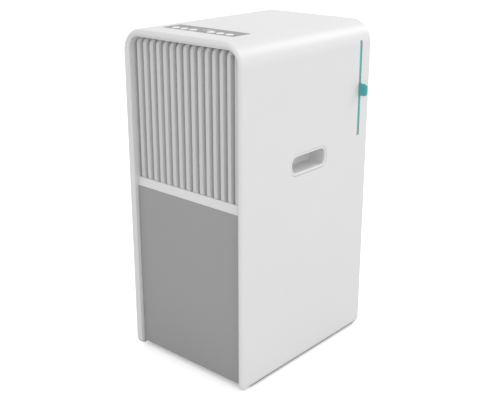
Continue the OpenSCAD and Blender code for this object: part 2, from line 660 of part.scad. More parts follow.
module tank_body() color([0.85, 0.88, 0.9], 0.7) {
    difference() {
        block([-tank_x, tank_front, tank_z], [tank_x, tank_back, tank_top]);
        block([-tank_x + tank_wall, tank_front + tank_wall, tank_z + tank_wall],
            [tank_x - tank_wall, tank_back - tank_wall, tank_top + eps]);
    }
    // Ears with the pins of the bucket's handle
    for (s = [-1, 1]) mirror([s < 0 ? 1 : 0, 0, 0]) {
        block([tank_x - tank_wall, bail_y - 7, tank_top - 20], [tank_x, bail_y + 7, bail_z + 5]);
        rod_x(bail_pin_r, tank_x, tank_x + slide_gap + bail_t, bail_y, bail_z);
    }
    // Lugs of the float
    for (x = [float_x - float_w / 2 - 4, float_x + float_w / 2 + 1]) difference() {
        block([x, float_y - 5, float_z - 5], [x + 3, tank_back - tank_wall, float_z + 5]);
        rod_x(float_pin_r, x - eps, x + 3 + eps, float_y, float_z);
    }
}
module float_pin() color([0.7, 0.7, 0.72]) rod_x(float_pin_r, float_x - float_w / 2 - 4, float_x + float_w / 2 + 4, float_y, float_z);
module float() color([0.95, 0.95, 0.95]) difference() {
    union() {
        rod_x(5, float_x - float_w / 2 + slide_gap, float_x + float_w / 2 - slide_gap, float_y, float_z);
        block([float_x - 5, float_y - 28, float_z - 2], [float_x + 5, float_y, float_z + 2]);
        block([float_x - float_w / 2 + 2, float_y - 56, float_z - 18], [float_x + float_w / 2 - 2, float_y - 26, float_z + 4]);
    }
    rod_x(float_pin_r + running, float_x - float_w, float_x + float_w, float_y, float_z);
}
module tank_lid() color([0.85, 0.88, 0.9], 0.8) difference() {
    block([-tank_x + tank_wall, tank_front + 0.5, tank_top], [tank_x - tank_wall, tank_back, tank_top + lid_t]);
    rod_z(lid_hole_r, tank_top - eps, tank_top + lid_t + eps, 0, spout_y);
}
module front_panel() color([0.61, 0.61, 0.61]) difference() {
    block([-lip_x + slide_gap, panel_y, panel_gap], [lip_x - slide_gap, panel_y + panel_t + 8, panel_top]);
    block([-lip_x + slide_gap + panel_t, panel_y + panel_t, panel_gap - eps],
        [lip_x - slide_gap - panel_t, panel_y + panel_t + 8 + eps, panel_top - panel_t]);
}
module tank_handle() color([0.9, 0.9, 0.9]) {
    arm_x = tank_x + slide_gap;
    difference() {
        union() for (s = [-1, 1]) mirror([s < 0 ? 1 : 0, 0, 0]) along_x(arm_x, arm_x + bail_t) {
            translate([bail_y - bail_arm, bail_z - 4]) square([bail_arm, 8]);
            translate([bail_y, bail_z]) circle(6);
        }
        rod_x(bail_pin_r + running, -body_w, body_w, bail_y, bail_z);
    }
    block([-arm_x - bail_t, bail_y - bail_arm - 8, bail_z - 4], [arm_x + bail_t, bail_y - bail_arm, bail_z + 4]);
}

outer_shell();
base_pan();
front_grille();
rear_panel();
rear_screws();
partition_wall();
mid_deck();
handle_cup_right();
handle_cup_left();
control_strip();
display_window();
status_leds();
control_board();
button_1();
button_2();
button_3();
button_4();
button_5();
button_6();
filter_frame();
filter_mesh();
evaporator_fins();
evaporator_tubes();
condenser_fins();
condenser_tubes();
fan_shroud();
fan_wheel();
motor_shaft();
fan_motor();
motor_bracket();
compressor();
accumulator();
terminal_cover();
compressor_grommets();
compressor_bolts();
suction_pipe();
discharge_pipe();
capillary_tube();
drip_tray();
drain_spigot();
tank_body();
front_panel();
tank_lid();
tank_handle();
float();
float_pin();
level_switch();
electronics_box();
run_capacitor();
cord_gland();
humidity_sensor();
caster_fork_fr();
caster_fork_fl();
caster_fork_rr();
caster_fork_rl();
caster_wheel_fr();
caster_wheel_fl();
caster_wheel_rr();
caster_wheel_rl();
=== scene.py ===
"""Looks of a household dehumidifier: shell, louvres, bucket, controls, filter and the works inside."""
from math import cos, pi, radians, sin, sqrt
import bmesh
import bpy
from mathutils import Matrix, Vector


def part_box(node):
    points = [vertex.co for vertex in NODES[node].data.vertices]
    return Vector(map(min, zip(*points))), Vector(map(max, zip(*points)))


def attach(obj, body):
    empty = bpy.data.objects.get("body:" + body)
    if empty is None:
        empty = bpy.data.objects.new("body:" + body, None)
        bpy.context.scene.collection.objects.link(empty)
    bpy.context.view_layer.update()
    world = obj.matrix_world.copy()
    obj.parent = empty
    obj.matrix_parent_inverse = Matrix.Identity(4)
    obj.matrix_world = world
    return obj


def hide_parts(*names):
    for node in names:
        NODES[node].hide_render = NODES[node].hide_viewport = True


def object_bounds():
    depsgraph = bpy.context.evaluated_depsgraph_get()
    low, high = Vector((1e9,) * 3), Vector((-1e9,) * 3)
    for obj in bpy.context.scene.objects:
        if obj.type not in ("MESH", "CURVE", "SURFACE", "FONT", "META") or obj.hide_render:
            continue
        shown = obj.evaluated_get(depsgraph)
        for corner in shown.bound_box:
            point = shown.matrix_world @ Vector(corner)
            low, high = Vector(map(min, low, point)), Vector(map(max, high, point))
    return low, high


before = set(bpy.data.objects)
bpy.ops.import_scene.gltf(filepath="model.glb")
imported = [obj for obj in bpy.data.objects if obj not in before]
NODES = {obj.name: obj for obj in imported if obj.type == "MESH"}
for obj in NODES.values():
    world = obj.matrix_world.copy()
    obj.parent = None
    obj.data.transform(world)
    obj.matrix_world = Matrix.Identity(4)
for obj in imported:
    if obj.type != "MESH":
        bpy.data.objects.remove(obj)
cad_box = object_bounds()
MM = 0.001


def box(node):
    """The two corners of a CAD node's box, in millimetres."""
    return [Vector(corner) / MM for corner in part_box(node)]


def halfway(a, b):
    return (a + b) / 2


# --- shader groups

def rgb(r, g, b):
    return (r, g, b, 1.0)


def grey(tone):
    return (tone, tone, tone)


def new_group(name, inputs):
    """A shader group that gives a colour, a roughness and a normal, with its two end nodes."""
    group = bpy.data.node_groups.new(name, "ShaderNodeTree")
    for label, value in inputs.items():
        kind = "NodeSocketFloat" if isinstance(value, float) else "NodeSocketColor"
        group.interface.new_socket(label, in_out="INPUT", socket_type=kind).default_value = value
    for label, kind in (("Colour", "Color"), ("Roughness", "Float"), ("Normal", "Vector")):
        group.interface.new_socket(label, in_out="OUTPUT", socket_type="NodeSocket" + kind)
    return group, group.nodes.new("NodeGroupInput"), group.nodes.new("NodeGroupOutput")


def add_node(tree, kind, values=None, **settings):
    """One shader node, with its settings and the values of its sockets."""
    node = tree.nodes.new("ShaderNode" + kind)
    for name, value in settings.items():
        setattr(node, name, value)
    for socket, value in (values or {}).items():
        node.inputs[socket].default_value = value
    return node


def wire(tree, *joins):
    """Links each (node, output, node, input) in a node tree."""
    for source, output, target, socket in joins:
        tree.links.new(source.outputs[output], target.inputs[socket])


def moulded_surface():
    """Spark-eroded plastic: a fine pebbled grain, faint tone drift and uneven gloss."""
    group, given, result = new_group("moulded surface", {
        "Colour": rgb(*grey(0.8)), "Tone drift": 0.03, "Gloss": 0.5, "Gloss spread": 0.08,
        "Grain per metre": 1800.0, "Grain depth": 0.12})
    place = add_node(group, "TexCoord")
    drift = add_node(group, "TexNoise", {"Scale": 9.0, "Detail": 3.0})
    grain = add_node(group, "TexNoise", {"Detail": 2.0})
    swing = add_node(group, "Math", {1: 0.5}, operation="SUBTRACT")
    tone = add_node(group, "Math", {2: 1.0}, operation="MULTIPLY_ADD")
    tint = add_node(group, "VectorMath", operation="SCALE")
    rough = add_node(group, "Math", operation="MULTIPLY_ADD")
    bump = add_node(group, "Bump", {"Distance": 0.05 * MM})
    wire(group, (place, "Object", drift, "Vector"), (place, "Object", grain, "Vector"),
         (given, "Grain per metre", grain, "Scale"), (drift, "Fac", swing, 0),
         # The drift swings the tone either side of one
         (swing, 0, tone, 0), (given, "Tone drift", tone, 1), (given, "Colour", tint, 0),
         (tone, 0, tint, "Scale"), (tint, 0, result, "Colour"), (swing, 0, rough, 0),
         (given, "Gloss spread", rough, 1), (given, "Gloss", rough, 2), (rough, 0, result, "Roughness"),
         (given, "Grain depth", bump, "Strength"), (grain, "Fac", bump, "Height"),
         (bump, 0, result, "Normal"))
    return group


def metal_surface():
    """Drawn or machined metal: fine lines along X and blotchy gloss."""
    group, given, result = new_group("metal surface", {
        "Colour": rgb(*grey(0.6)), "Tarnish": rgb(*grey(0.3)), "Tarnish share": 0.2, "Gloss": 0.35})
    place = add_node(group, "TexCoord")
    lines = add_node(group, "Mapping", {"Scale": (60.0, 1400.0, 1400.0)})
    streak = add_node(group, "TexNoise")
    blotch = add_node(group, "TexNoise", {"Scale": 45.0})
    share = add_node(group, "Math", operation="MULTIPLY")
    blend = add_node(group, "Mix", data_type="RGBA")
    rough = add_node(group, "Math", {1: 0.2}, operation="MULTIPLY_ADD")
    bump = add_node(group, "Bump", {"Distance": 0.03 * MM, "Strength": 0.2})
    wire(group, (place, "Object", lines, "Vector"), (lines, 0, streak, "Vector"),
         (place, "Object", blotch, "Vector"), (blotch, "Fac", share, 0),
         (given, "Tarnish share", share, 1), (share, 0, blend, "Factor"), (given, "Colour", blend, "A"),
         (given, "Tarnish", blend, "B"), (blend, "Result", result, "Colour"), (blotch, "Fac", rough, 0),
         (given, "Gloss", rough, 2), (rough, 0, result, "Roughness"), (streak, "Fac", bump, "Height"),
         (bump, 0, result, "Normal"))
    return group


MOULDED = moulded_surface()
METAL = metal_surface()


def surface_material(name, group, values, metallic=0.0, coat=0.0, clear=0.0):
    """One finish: the group's colour, gloss and grain on a Principled surface."""
    mat = bpy.data.materials.new(name)
    mat.use_nodes = True
    tree = mat.node_tree
    shader = tree.nodes["Principled BSDF"]
    look = add_node(tree, "Group", values, node_tree=group)
    wire(tree, (look, "Colour", shader, "Base Color"), (look, "Roughness", shader, "Roughness"),
         (look, "Normal", shader, "Normal"))
    for socket, value in (("Metallic", metallic), ("Coat Weight", coat), ("Transmission Weight", clear)):
        shader.inputs[socket].default_value = value
    return mat


def plastic(name, colour, gloss, depth=0.12, per_metre=1800.0, drift=0.03, coat=0.0, clear=0.0):
    return surface_material(name, MOULDED, {
        "Colour": rgb(*colour), "Gloss": gloss, "Grain depth": depth,
        "Grain per metre": per_metre, "Tone drift": drift}, coat=coat, clear=clear)


def metal(name, colour, tarnish, share, gloss):
    values = {"Colour": rgb(*colour), "Tarnish": rgb(*tarnish), "Tarnish share": share, "Gloss": gloss}
    return surface_material(name, METAL, values, metallic=1.0)


WHITE = plastic("white shell plastic", grey(0.70), 0.38, depth=0.1)
# The grip pocket's walls are the shell's white plastic; this greyer tone is painted shade for the dark
# inside of the recess.
POCKET_SHADE_GREY = plastic("grip pocket painted shade", grey(0.64), 0.5, depth=0.15)
PANEL_GREY = plastic("bucket front grey", grey(0.325), 0.62, depth=0.25, per_metre=1400.0, drift=0.02)
STRIP_GREY = plastic("control overlay grey", grey(0.28), 0.55, depth=0.06, per_metre=2600.0)
DISPLAY_GREY = plastic("display window grey", (0.36, 0.36, 0.37), 0.18, depth=0.0, drift=0.01, coat=0.4)
SEGMENT_GREY = plastic("display segment", (0.5, 0.51, 0.5), 0.3, depth=0.0, drift=0.01)
LIGHT_GUIDE = plastic("light guide", (0.8, 0.8, 0.76), 0.25, depth=0.0)
BUTTON_WHITE = plastic("button white", grey(0.8), 0.28, depth=0.03)
TEAL = plastic("teal filter plastic", (0.075, 0.385, 0.395), 0.42, depth=0.1)
MESH_BLACK = plastic("filter strand", (0.03, 0.03, 0.032), 0.6)
PAN_BLACK = plastic("base pan plastic", (0.045, 0.045, 0.05), 0.6, depth=0.25)
INNER_GREY = plastic("inner moulding grey", (0.42, 0.42, 0.43), 0.55, depth=0.2)
FAN_BLACK = plastic("fan plastic", (0.06, 0.06, 0.065), 0.5)
BUCKET_MILK = plastic("milky bucket plastic", (0.72, 0.77, 0.79), 0.3, depth=0.08, clear=0.35)
HANDLE_GREY = plastic("bucket handle plastic", grey(0.6), 0.45)
FLOAT_WHITE = plastic("float foam", (0.82, 0.82, 0.8), 0.75, depth=0.6, per_metre=500.0)
CIRCUIT_GREEN = plastic("circuit board lacquer", (0.02, 0.16, 0.06), 0.3,
                        depth=0.15, per_metre=900.0, coat=0.3)
CASTER_BLACK = plastic("caster plastic", (0.04, 0.04, 0.045), 0.5)
RUBBER = plastic("rubber", grey(0.02), 0.8, depth=0.4, per_metre=900.0)
TREAD = plastic("caster tread", (0.09, 0.09, 0.095), 0.7, depth=0.3, per_metre=700.0)
ENAMEL = plastic("black enamel", (0.025, 0.025, 0.028), 0.35, depth=0.2, per_metre=500.0, coat=0.3)
STEEL = metal("bright steel", (0.6, 0.6, 0.62), (0.35, 0.34, 0.33), 0.3, 0.25)
ALUMINIUM = metal("fin aluminium", (0.82, 0.83, 0.85), grey(0.5), 0.25, 0.3)
COPPER = metal("drawn copper", (0.8, 0.42, 0.26), (0.28, 0.14, 0.08), 0.45, 0.25)


# --- mesh tools

def add_loft(bm, rings, caps=True):
    """Skins a row of closed rings with equal counts; caps fill the two ends."""
    rows = [[bm.verts.new(p) for p in ring] for ring in rings]
    for a, b in zip(rows, rows[1:]):
        for i in range(len(a)):
            j = (i + 1) % len(a)
            bm.faces.new((a[i], a[j], b[j], b[i]))
    if caps:
        bm.faces.new(rows[0][::-1])
        bm.faces.new(rows[-1])


def add_block(bm, lo, hi, radius=0.0, segments=3):
    """A block between two corners with rounded edges."""
    made = bmesh.ops.create_cube(bm, size=1.0)["verts"]
    lo, hi = Vector(lo), Vector(hi)
    for v in made:
        v.co = Vector([lo[i] + (hi[i] - lo[i]) * (v.co[i] + 0.5) for i in range(3)])
    if radius:
        edges = list({e for v in made for e in v.link_edges})
        bmesh.ops.bevel(bm, geom=edges, offset=radius, segments=segments, affect="EDGES", profile=0.5)


def place(axis, along, a, b):
    return {"X": (along, a, b), "Y": (a, along, b), "Z": (a, b, along)}[axis]


def full_turn(steps):
    return [2 * pi * k / steps for k in range(steps)]


def turned(axis, centre):
    """Puts a profile's (radius, angle, height) into space round an axis through a centre."""
    def at(r, angle, h):
        a, b = r * cos(angle), r * sin(angle)
        return Vector(centre) + Vector(place(axis, h, *((b, a) if axis == "Y" else (a, b))))
    return at


TIP = 0.01  # the radius a turned solid ends on at its axis


def add_lathe(bm, profile, axis, centre, steps=48):
    """A closed turned solid from (radius, height) points that start and end near the axis."""
    at = turned(axis, centre)
    add_loft(bm, [[at(max(r, TIP), turn, h) for turn in full_turn(steps)] for r, h in profile])


def add_ring(bm, profile, axis, centre, steps=48):
    """A turned solid with a hole through it, from a closed loop of (radius, height) points."""
    at = turned(axis, centre)
    rows = [[at(r, turn, h) for r, h in profile] for turn in full_turn(steps)]
    add_loft(bm, rows + rows[:1], caps=False)


def add_tube(bm, points, radius, sides=12):
    """A round tube along a line of points, its rings carried on without twisting."""
    points = [Vector(p) for p in points]
    side = None
    rings = []
    for i, p in enumerate(points):
        ahead = points[min(i + 1, len(points) - 1)] - points[max(i - 1, 0)]
        ahead.normalize()
        if side is None:
            side = ahead.orthogonal()
        side = (side - ahead * side.dot(ahead)).normalized()
        up = ahead.cross(side)
        rings.append([p + side * (radius * cos(a)) + up * (radius * sin(a))
                      for a in full_turn(sides)])
    add_loft(bm, rings)


def softened_path(corners, radius, steps=6):
    """A line through corners with each inner corner rounded to a radius."""
    corners = [Vector(c) for c in corners]
    path = [corners[0]]
    for before, at, after in zip(corners, corners[1:], corners[2:]):
        start = (before - at).normalized()
        end = (after - at).normalized()
        if start.cross(end).length < 1e-4:
            continue
        reach = min(radius, (before - at).length * 0.49, (after - at).length * 0.49)
        for k in range(steps + 1):
            t = k / steps
            path.append(at + start * reach * (1 - t) ** 2 + end * reach * t ** 2)
    path.append(corners[-1])
    return path


def round_rect(width, height, radius, steps=6):
    """Points round a rectangle with round corners, centred, anticlockwise."""
    points = []
    for cx, cy, start in ((1, 1, 0), (-1, 1, 90), (-1, -1, 180), (1, -1, 270)):
        for k in range(steps + 1):
            a = radians(start + 90 * k / steps)
            points.append((cx * (width / 2 - radius) + radius * cos(a),
                           cy * (height / 2 - radius) + radius * sin(a)))
    return points


def add_sections(bm, axis, centre, sections, steps=6, caps=True):
    """Skins round-cornered sections of (place along an axis, width, height, corner)."""
    add_loft(bm, [[place(axis, along, centre[0] + a, centre[1] + b)
                   for a, b in round_rect(w, h, r, steps)] for along, w, h, r in sections], caps)


def inset_sections(size, corner, steps):
    """Sections of one size and corner, each (place along, distance drawn in)."""
    return [(along, size[0] - 2 * inset, size[1] - 2 * inset, max(corner - inset, 0.05))
            for along, inset in steps]


def add_slab(bm, axis, near, far, centre, size, corner, edge=0.6, steps=5):
    """A plate or bar with round corners, its outline drawn along an axis with soft edges."""
    insets = ((near, edge), (near + 0.3 * edge, 0.3 * edge), (near + edge, 0),
              (far - edge, 0), (far - 0.3 * edge, 0.3 * edge), (far, edge))
    add_sections(bm, axis, centre, inset_sections(size, corner, insets), steps)


def pair(near, far, middle=0):
    """The ranges along X of a part and of its mirror image."""
    return (middle - far, middle - near), (middle + near, middle + far)


def add_hole(bm, axis, near, far, centre, radius, steps=40):
    """A straight round cutter or pin along an axis."""
    add_loft(bm, [[place(axis, along, centre[0] + radius * cos(a), centre[1] + radius * sin(a))
                   for a in full_turn(steps)] for along in (near, far)])


def plain_mesh(name, build):
    """A mesh in metres from a build in millimetres, its faces pointing outwards."""
    bm = bmesh.new()
    build(bm)
    bmesh.ops.remove_doubles(bm, verts=bm.verts, dist=1e-4)
    bmesh.ops.recalc_face_normals(bm, faces=bm.faces)
    bmesh.ops.scale(bm, vec=(MM, MM, MM), verts=bm.verts)
    mesh = bpy.data.meshes.new(name)
    bm.to_mesh(mesh)
    bm.free()
    return mesh


def linked(name, mesh):
    obj = bpy.data.objects.new(name, mesh)
    bpy.context.scene.collection.objects.link(obj)
    return obj


def make_piece(name, build, material, replaced=(), body="housing", smooth_under=35):
    """Builds a mesh piece, and sets which nodes it stands for and the body it rides on."""
    return settle(linked(name, plain_mesh(name, build)), material, replaced, body, smooth_under)


def settle(obj, material, replaced, body, smooth_under=35):
    if not obj.data.materials:
        obj.data.materials.append(material)
    shade(obj, smooth_under)
    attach(obj, body)
    if replaced:
        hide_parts(*replaced)
    return obj


def shade(obj, smooth_under=30):
    """Smooth faces with sharp edges wherever the surface turns by more than an angle in degrees."""
    obj.data.shade_smooth()
    obj.data.set_sharp_from_angle(angle=radians(smooth_under))


def baked(obj):
    """Replaces an object's mesh by its modifiers' result and drops the modifiers."""
    bpy.context.view_layer.update()
    graph = bpy.context.evaluated_depsgraph_get()
    mesh = bpy.data.meshes.new_from_object(obj.evaluated_get(graph))
    obj.modifiers.clear()
    obj.data = mesh


def cut_holes(obj, *builds, smooth_under=30):
    """Cuts the closed shapes that some builds make out of an object."""
    cutters = [linked("cutter", plain_mesh("cutter", build)) for build in builds]
    for cutter in cutters:
        cut = obj.modifiers.new("cut", "BOOLEAN")
        cut.operation = "DIFFERENCE"
        cut.solver = "EXACT"
        cut.object = cutter
    baked(obj)
    for cutter in cutters:
        bpy.data.objects.remove(cutter)
    shade(obj, smooth_under)


# --- camera, light and floor

def pale_floor():
    """A white floor, bright where it is seen, whose greyer bounce leaves undersides a little darker."""
    mat = plastic("pale floor", grey(0.96), 0.9, depth=0.0, drift=0.01)
    tree = mat.node_tree
    seen = tree.nodes["Principled BSDF"]
    seen.inputs["Emission Color"].default_value = (1, 1, 1, 1)
    seen.inputs["Emission Strength"].default_value = 0.35
    bounce = add_node(tree, "BsdfDiffuse", {"Color": rgb(*grey(0.75))})
    path = add_node(tree, "LightPath")
    either = add_node(tree, "MixShader")
    wire(tree, (path, "Is Camera Ray", either, 0), (bounce, 0, either, 1), (seen, 0, either, 2),
         (either, 0, tree.nodes["Material Output"], "Surface"))
    return mat


def stage_and_light():
    scene = bpy.context.scene
    camera = linked("camera", bpy.data.cameras.new("camera"))
    camera.location = (1.0072, -1.1568, 0.8317)
    camera.rotation_euler = (radians(90 - 18.70), 0, radians(41.25))
    camera.data.lens = 61.55
    camera.data.shift_y = -0.04
    scene.camera = camera

    world = bpy.data.worlds.new("studio")
    world.use_nodes = True
    sky = world.node_tree.nodes["Background"]
    sky.inputs["Color"].default_value = (1, 1, 1, 1)
    sky.inputs["Strength"].default_value = 1.0
    scene.world = world
    scene.view_settings.view_transform = "Standard"

    aim = Vector((0, 0, 0.32))
    for name, spot, size, watts in (("key softbox", (0.97, 2.1, 2.1), 1.05, 15.0),
                                    ("side softbox", (2.5, -1.0, 0.9), 2.2, 9.0),
                                    ("left fill", (-2.2, -2.0, 1.6), 2.4, 1.2)):
        lamp = linked(name, bpy.data.lights.new(name, "AREA"))
        lamp.data.size = size
        lamp.data.energy = watts
        lamp.location = spot
        lamp.rotation_euler = (aim - Vector(spot)).to_track_quat("-Z", "Y").to_euler()

    bm = bmesh.new()
    bmesh.ops.create_circle(bm, cap_ends=True, segments=64, radius=40.0)
    for v in bm.verts:
        v.co.z = cad_box[0].z
    mesh = bpy.data.meshes.new("floor")
    bm.to_mesh(mesh)
    bm.free()
    floor = linked("floor", mesh)
    floor.data.materials.append(pale_floor())


stage_and_light()

# --- shell

shell_lo, shell_hi = box("outer_shell")
panel_lo, panel_hi = box("front_panel")
HALF_W, REAR, TOP = shell_hi
FRONT = shell_lo.y
CORNER = 42
WALL = 3
LIP_X = panel_hi.x + 0.5
LIP_TOP = TOP - 14
LIP_CORNER = 22
LIP_BACK = FRONT + 16
SILL_TOP = panel_hi.z + 16
FIN_FRONT = FRONT + 14.6
ARCH_TURNS = range(0, 91, 9)


def arch_station(half_w, top, radius, side, turn):
    """A point on an arch's rounded shoulder and its inward direction."""
    a = radians(turn)
    centre = Vector((side * (half_w - radius), top - radius))
    out = Vector((side * cos(a), sin(a)))
    return centre + out * radius, -out


def arch_stations(feet):
    """Each (side, turn, foot height) along an arch, from one foot over the top to the other."""
    rise = [(0, z) for z in feet] + [(turn, None) for turn in ARCH_TURNS]
    return [(-1, *station) for station in rise] + [(1, *station) for station in reversed(rise)]


def shell_rings():
    """Closed wall sections along the arch."""
    foot_r, foot_side_r, front_r, rear_r = 8, 12, 4.5, 2.2
    bevel_w, bevel_d = 5.2, 4.2
    feet = [0.0, 0.5, 1.5, 3.0, 5.0, 8.0, 12.0, 60.0, 300.0]
    rings = []
    for side, turn, foot in arch_stations(feet):
        back = 0.0
        if foot is not None:
            dip = max(foot_r - foot, 0)
            outer = Vector((side * (HALF_W - foot_r + sqrt(foot_r ** 2 - dip ** 2)), foot))
            lip = Vector((side * LIP_X, foot))
            inner = Vector((side * min(HALF_W - WALL, abs(outer.x) - 1.2), foot))
            inward = lip_in = Vector((-side, 0))
            dip = max(foot_side_r - foot, 0)
            back = foot_side_r - sqrt(foot_side_r ** 2 - dip ** 2)
        else:
            outer, inward = arch_station(HALF_W, TOP, CORNER, side, turn)
            lip, lip_in = arch_station(LIP_X, LIP_TOP, LIP_CORNER, side, turn)
            inner = arch_station(HALF_W - WALL, TOP - WALL, CORNER - WALL, side, turn)[0]
        y0, y1 = FRONT + back, REAR - back
        ring = []
        for k in range(7):
            a = radians(15 * k)
            p = outer + inward * (front_r * (1 - cos(a)))
            ring.append((p.x, y0 + front_r * (1 - sin(a)), p.y))
        # Slope from the lip's flat front down to its inner edge
        for across, deep in ((1.04, 0.0), (0.97, 0.04), (0.04, 0.95), (0.0, 1.06)):
            p = lip - lip_in * (bevel_w * across)
            ring.append((p.x, y0 + bevel_d * deep, p.y))
        ring.append((lip.x, LIP_BACK + back / 3, lip.y))
        ring.append((inner.x, LIP_BACK + back / 3, inner.y))
        ring.append((inner.x, y1 - rear_r / 2, inner.y))
        for k in range(4):
            a = radians(90 - 30 * k)
            p = outer + inward * (rear_r * (1 - cos(a)))
            ring.append((p.x, y1 - rear_r * (1 - sin(a)), p.y))
        rings.append(ring)
    return rings


def make_shell():
    strip_y = halfway(*box("control_strip")).y
    grip_z = halfway(*box("handle_cup_right")).z
    filter_lo, filter_hi = box("filter_frame")
    shell = make_piece("shell", lambda bm: add_loft(bm, shell_rings()), WHITE, ["outer_shell"])

    # Width, height and corner of the holes for the grips and the control strip
    grip_hole, strip_hole = (105.6, 40.6, 18), (168.6, 45.6, 3.3)

    def grip_cut(bm):
        add_sections(bm, "X", (0, grip_z), [(x, *grip_hole) for x in (-200, 200)], 8)

    def slot_cut(bm):
        add_block(bm, (HALF_W - 10, filter_lo.y - 0.6, filter_lo.z - 0.6),
                  (HALF_W + 10, filter_hi.y + 0.75, filter_hi.z + 0.6))

    def strip_cut(bm):
        add_sections(bm, "Z", (0, strip_y), [(z, *strip_hole) for z in (TOP - 8, TOP + 8)], 5)

    cut_holes(shell, grip_cut, slot_cut, strip_cut)
    even = shell.modifiers.new("even shading", "WEIGHTED_NORMAL")
    even.keep_sharp = True
    even.weight = 100
    baked(shell)


make_shell()


# --- grips

def make_grip(side, node):
    z = halfway(*box(node)).z

    def build(bm):
        # Width, height, corner and distance in from the shell's face
        steps = [(103, 38, 17, 38), (103, 38, 17, 6), (116, 51, 22, 5), (116, 51, 22, 3.1),
                 (105, 40, 17.7, 3), (105, 40, 17.7, 1.0), (104.2, 39.2, 17.3, 0.25),
                 (102.6, 37.6, 16.6, 0.0), (98, 33, 14.5, 0.0), (96.2, 31.2, 13.3, 0.5),
                 (94.8, 29.8, 12.2, 1.8), (94, 29, 10.5, 4), (92.6, 27.6, 10, 30),
                 (90.6, 25.6, 10, 34), (86, 21, 9, 35.7), (80, 15, 6, 36)]
        add_sections(bm, "X", (0, z), [(side * (HALF_W - deep), w, h, min(r, h / 2 - 0.1))
                                       for w, h, r, deep in steps], 8)

    grip = make_piece(node.replace("handle_cup", "grip"), build, WHITE, [node])
    # Inner walls of the pocket take the greyer material: painted shade in the recess.
    grip.data.materials.append(POCKET_SHADE_GREY)
    for face in grip.data.polygons:
        if abs(face.center.x) < (HALF_W - 5) * MM and abs(face.center.y) < 47.5 * MM:
            face.material_index = 1


make_grip(1, "handle_cup_right")
make_grip(-1, "handle_cup_left")


# --- louvres

def louvre(bm):
    """One upright louvre: round front corners, its ends swept back into the frame."""
    half, depth, lead = 4, 20, 1.1
    length = LIP_TOP - SILL_TOP - 2
    turn = [radians(18 * k) for k in range(6)]
    corner = [(half - lead * (1 - cos(a)), lead * (1 - sin(a))) for a in turn]
    right = [(half, depth)] + corner + [(1.6, 0.12), (0.7, 0.42)]
    section = [(-x, y) for x, y in right] + [(0, 0.5)] + right[::-1]
    top_sweep, foot_sweep, rings = 12, 6, []
    for z in [0, 0.8, 2, 3.5, 6] + [length - s for s in (12, 9.5, 7, 4.5, 2.5, 1, 0, -4)]:
        low = max(foot_sweep - z, 0)
        high = min(max(top_sweep - (length - z), 0), top_sweep)
        back = top_sweep - sqrt(top_sweep ** 2 - high ** 2)
        back += foot_sweep - sqrt(foot_sweep ** 2 - low ** 2)
        rings.append([(x, min(y + back, depth), z) for x, y in section])
    add_loft(bm, rings)


ROW = (("Count", "Int"), ("Start", "Vector"), ("Step", "Vector"))
SCATTER = (("Points", "Geometry"), ("Size", "Float"))


def copies_tree(name, source, material, inputs):
    """Geometry nodes: copies of one object, in a straight row or at every point of a mesh."""
    tree = bpy.data.node_groups.new(name, "GeometryNodeTree")
    sockets = {label: tree.interface.new_socket(
        label, in_out="INPUT", socket_type="NodeSocket" + kind).identifier for label, kind in inputs}
    tree.interface.new_socket("Geometry", in_out="OUTPUT", socket_type="NodeSocketGeometry")
    make = tree.nodes.new
    given, result = make("NodeGroupInput"), make("NodeGroupOutput")
    spread, part = make("GeometryNodeInstanceOnPoints"), make("GeometryNodeObjectInfo")
    real, finish = make("GeometryNodeRealizeInstances"), make("GeometryNodeSetMaterial")
    part.inputs["Object"].default_value = source
    finish.inputs["Material"].default_value = material
    if inputs is ROW:
        line = make("GeometryNodeMeshLine")
        line.mode = "OFFSET"
        wire(tree, (given, "Count", line, "Count"), (given, "Start", line, "Start Location"),
             (given, "Step", line, "Offset"), (line, "Mesh", spread, "Points"))
    else:
        wire(tree, (given, "Points", spread, "Points"), (given, "Size", spread, "Scale"))
    wire(tree, (part, "Geometry", spread, "Instance"), (spread, "Instances", real, "Geometry"),
         (real, "Geometry", finish, "Geometry"), (finish, "Geometry", result, "Geometry"))
    return tree, sockets


def make_copies(name, build, inputs, values, points, material, replaced=(), body="housing"):
    """Copies of a small part, turned into one plain mesh."""
    source = bpy.data.objects.new(name + " pattern", plain_mesh(name + " pattern", build))
    tree, sockets = copies_tree(name + " copies", source, material, inputs)
    places = bpy.data.meshes.new(name)
    places.from_pydata([Vector(p) * MM for p in points], [], [])
    obj = linked(name, places)
    copies = obj.modifiers.new("copies", "NODES")
    copies.node_group = tree
    for label, value in values.items():
        copies[sockets[label]] = value
    baked(obj)
    bpy.data.objects.remove(source)
    return settle(obj, material, replaced, body)


def make_at_points(name, build, points, *finish):
    return make_copies(name, build, SCATTER, {"Size": 1.0}, points, *finish)


def make_row(name, build, count, start, step, *finish):
    values = {"Count": count, "Start": [c * MM for c in start], "Step": [c * MM for c in step]}
    make_copies(name, build, ROW, values, (), *finish)


# The louvres' plastic is one white; these two tones are painted shade on the fronts and painted light on
# the flanks.
FRONT_SHADE_TONE, FLANK_LIGHT_TONE = 0.6, 0.7


def louvre_painted_plastic():
    """Louvres of one white plastic with painted light and shade: fronts painted darker as painted shade
    of the recess, flanks painted paler as painted light in the gaps.
    """
    mat = plastic("louvre plastic painted light and shade", grey(FRONT_SHADE_TONE), 0.42, depth=0.1)
    tree = mat.node_tree
    look = next(n for n in tree.nodes if n.type == "GROUP")
    spot = add_node(tree, "TexCoord")
    split = add_node(tree, "SeparateXYZ")
    # Mask by depth behind the fronts: the flanks get the paler tone, painted light.
    flank_light_mask = add_node(tree, "MapRange", {
        "From Min": (FIN_FRONT + 0.7) * MM, "From Max": (FIN_FRONT + 2.0) * MM})
    tone = add_node(tree, "Mix", {
        "A": rgb(*grey(FRONT_SHADE_TONE)), "B": rgb(*grey(FLANK_LIGHT_TONE))}, data_type="RGBA")
    wire(tree, (spot, "Object", split, 0), (split, "Y", flank_light_mask, "Value"),
         (flank_light_mask, "Result", tone, "Factor"), (tone, "Result", look, "Colour"))
    return mat


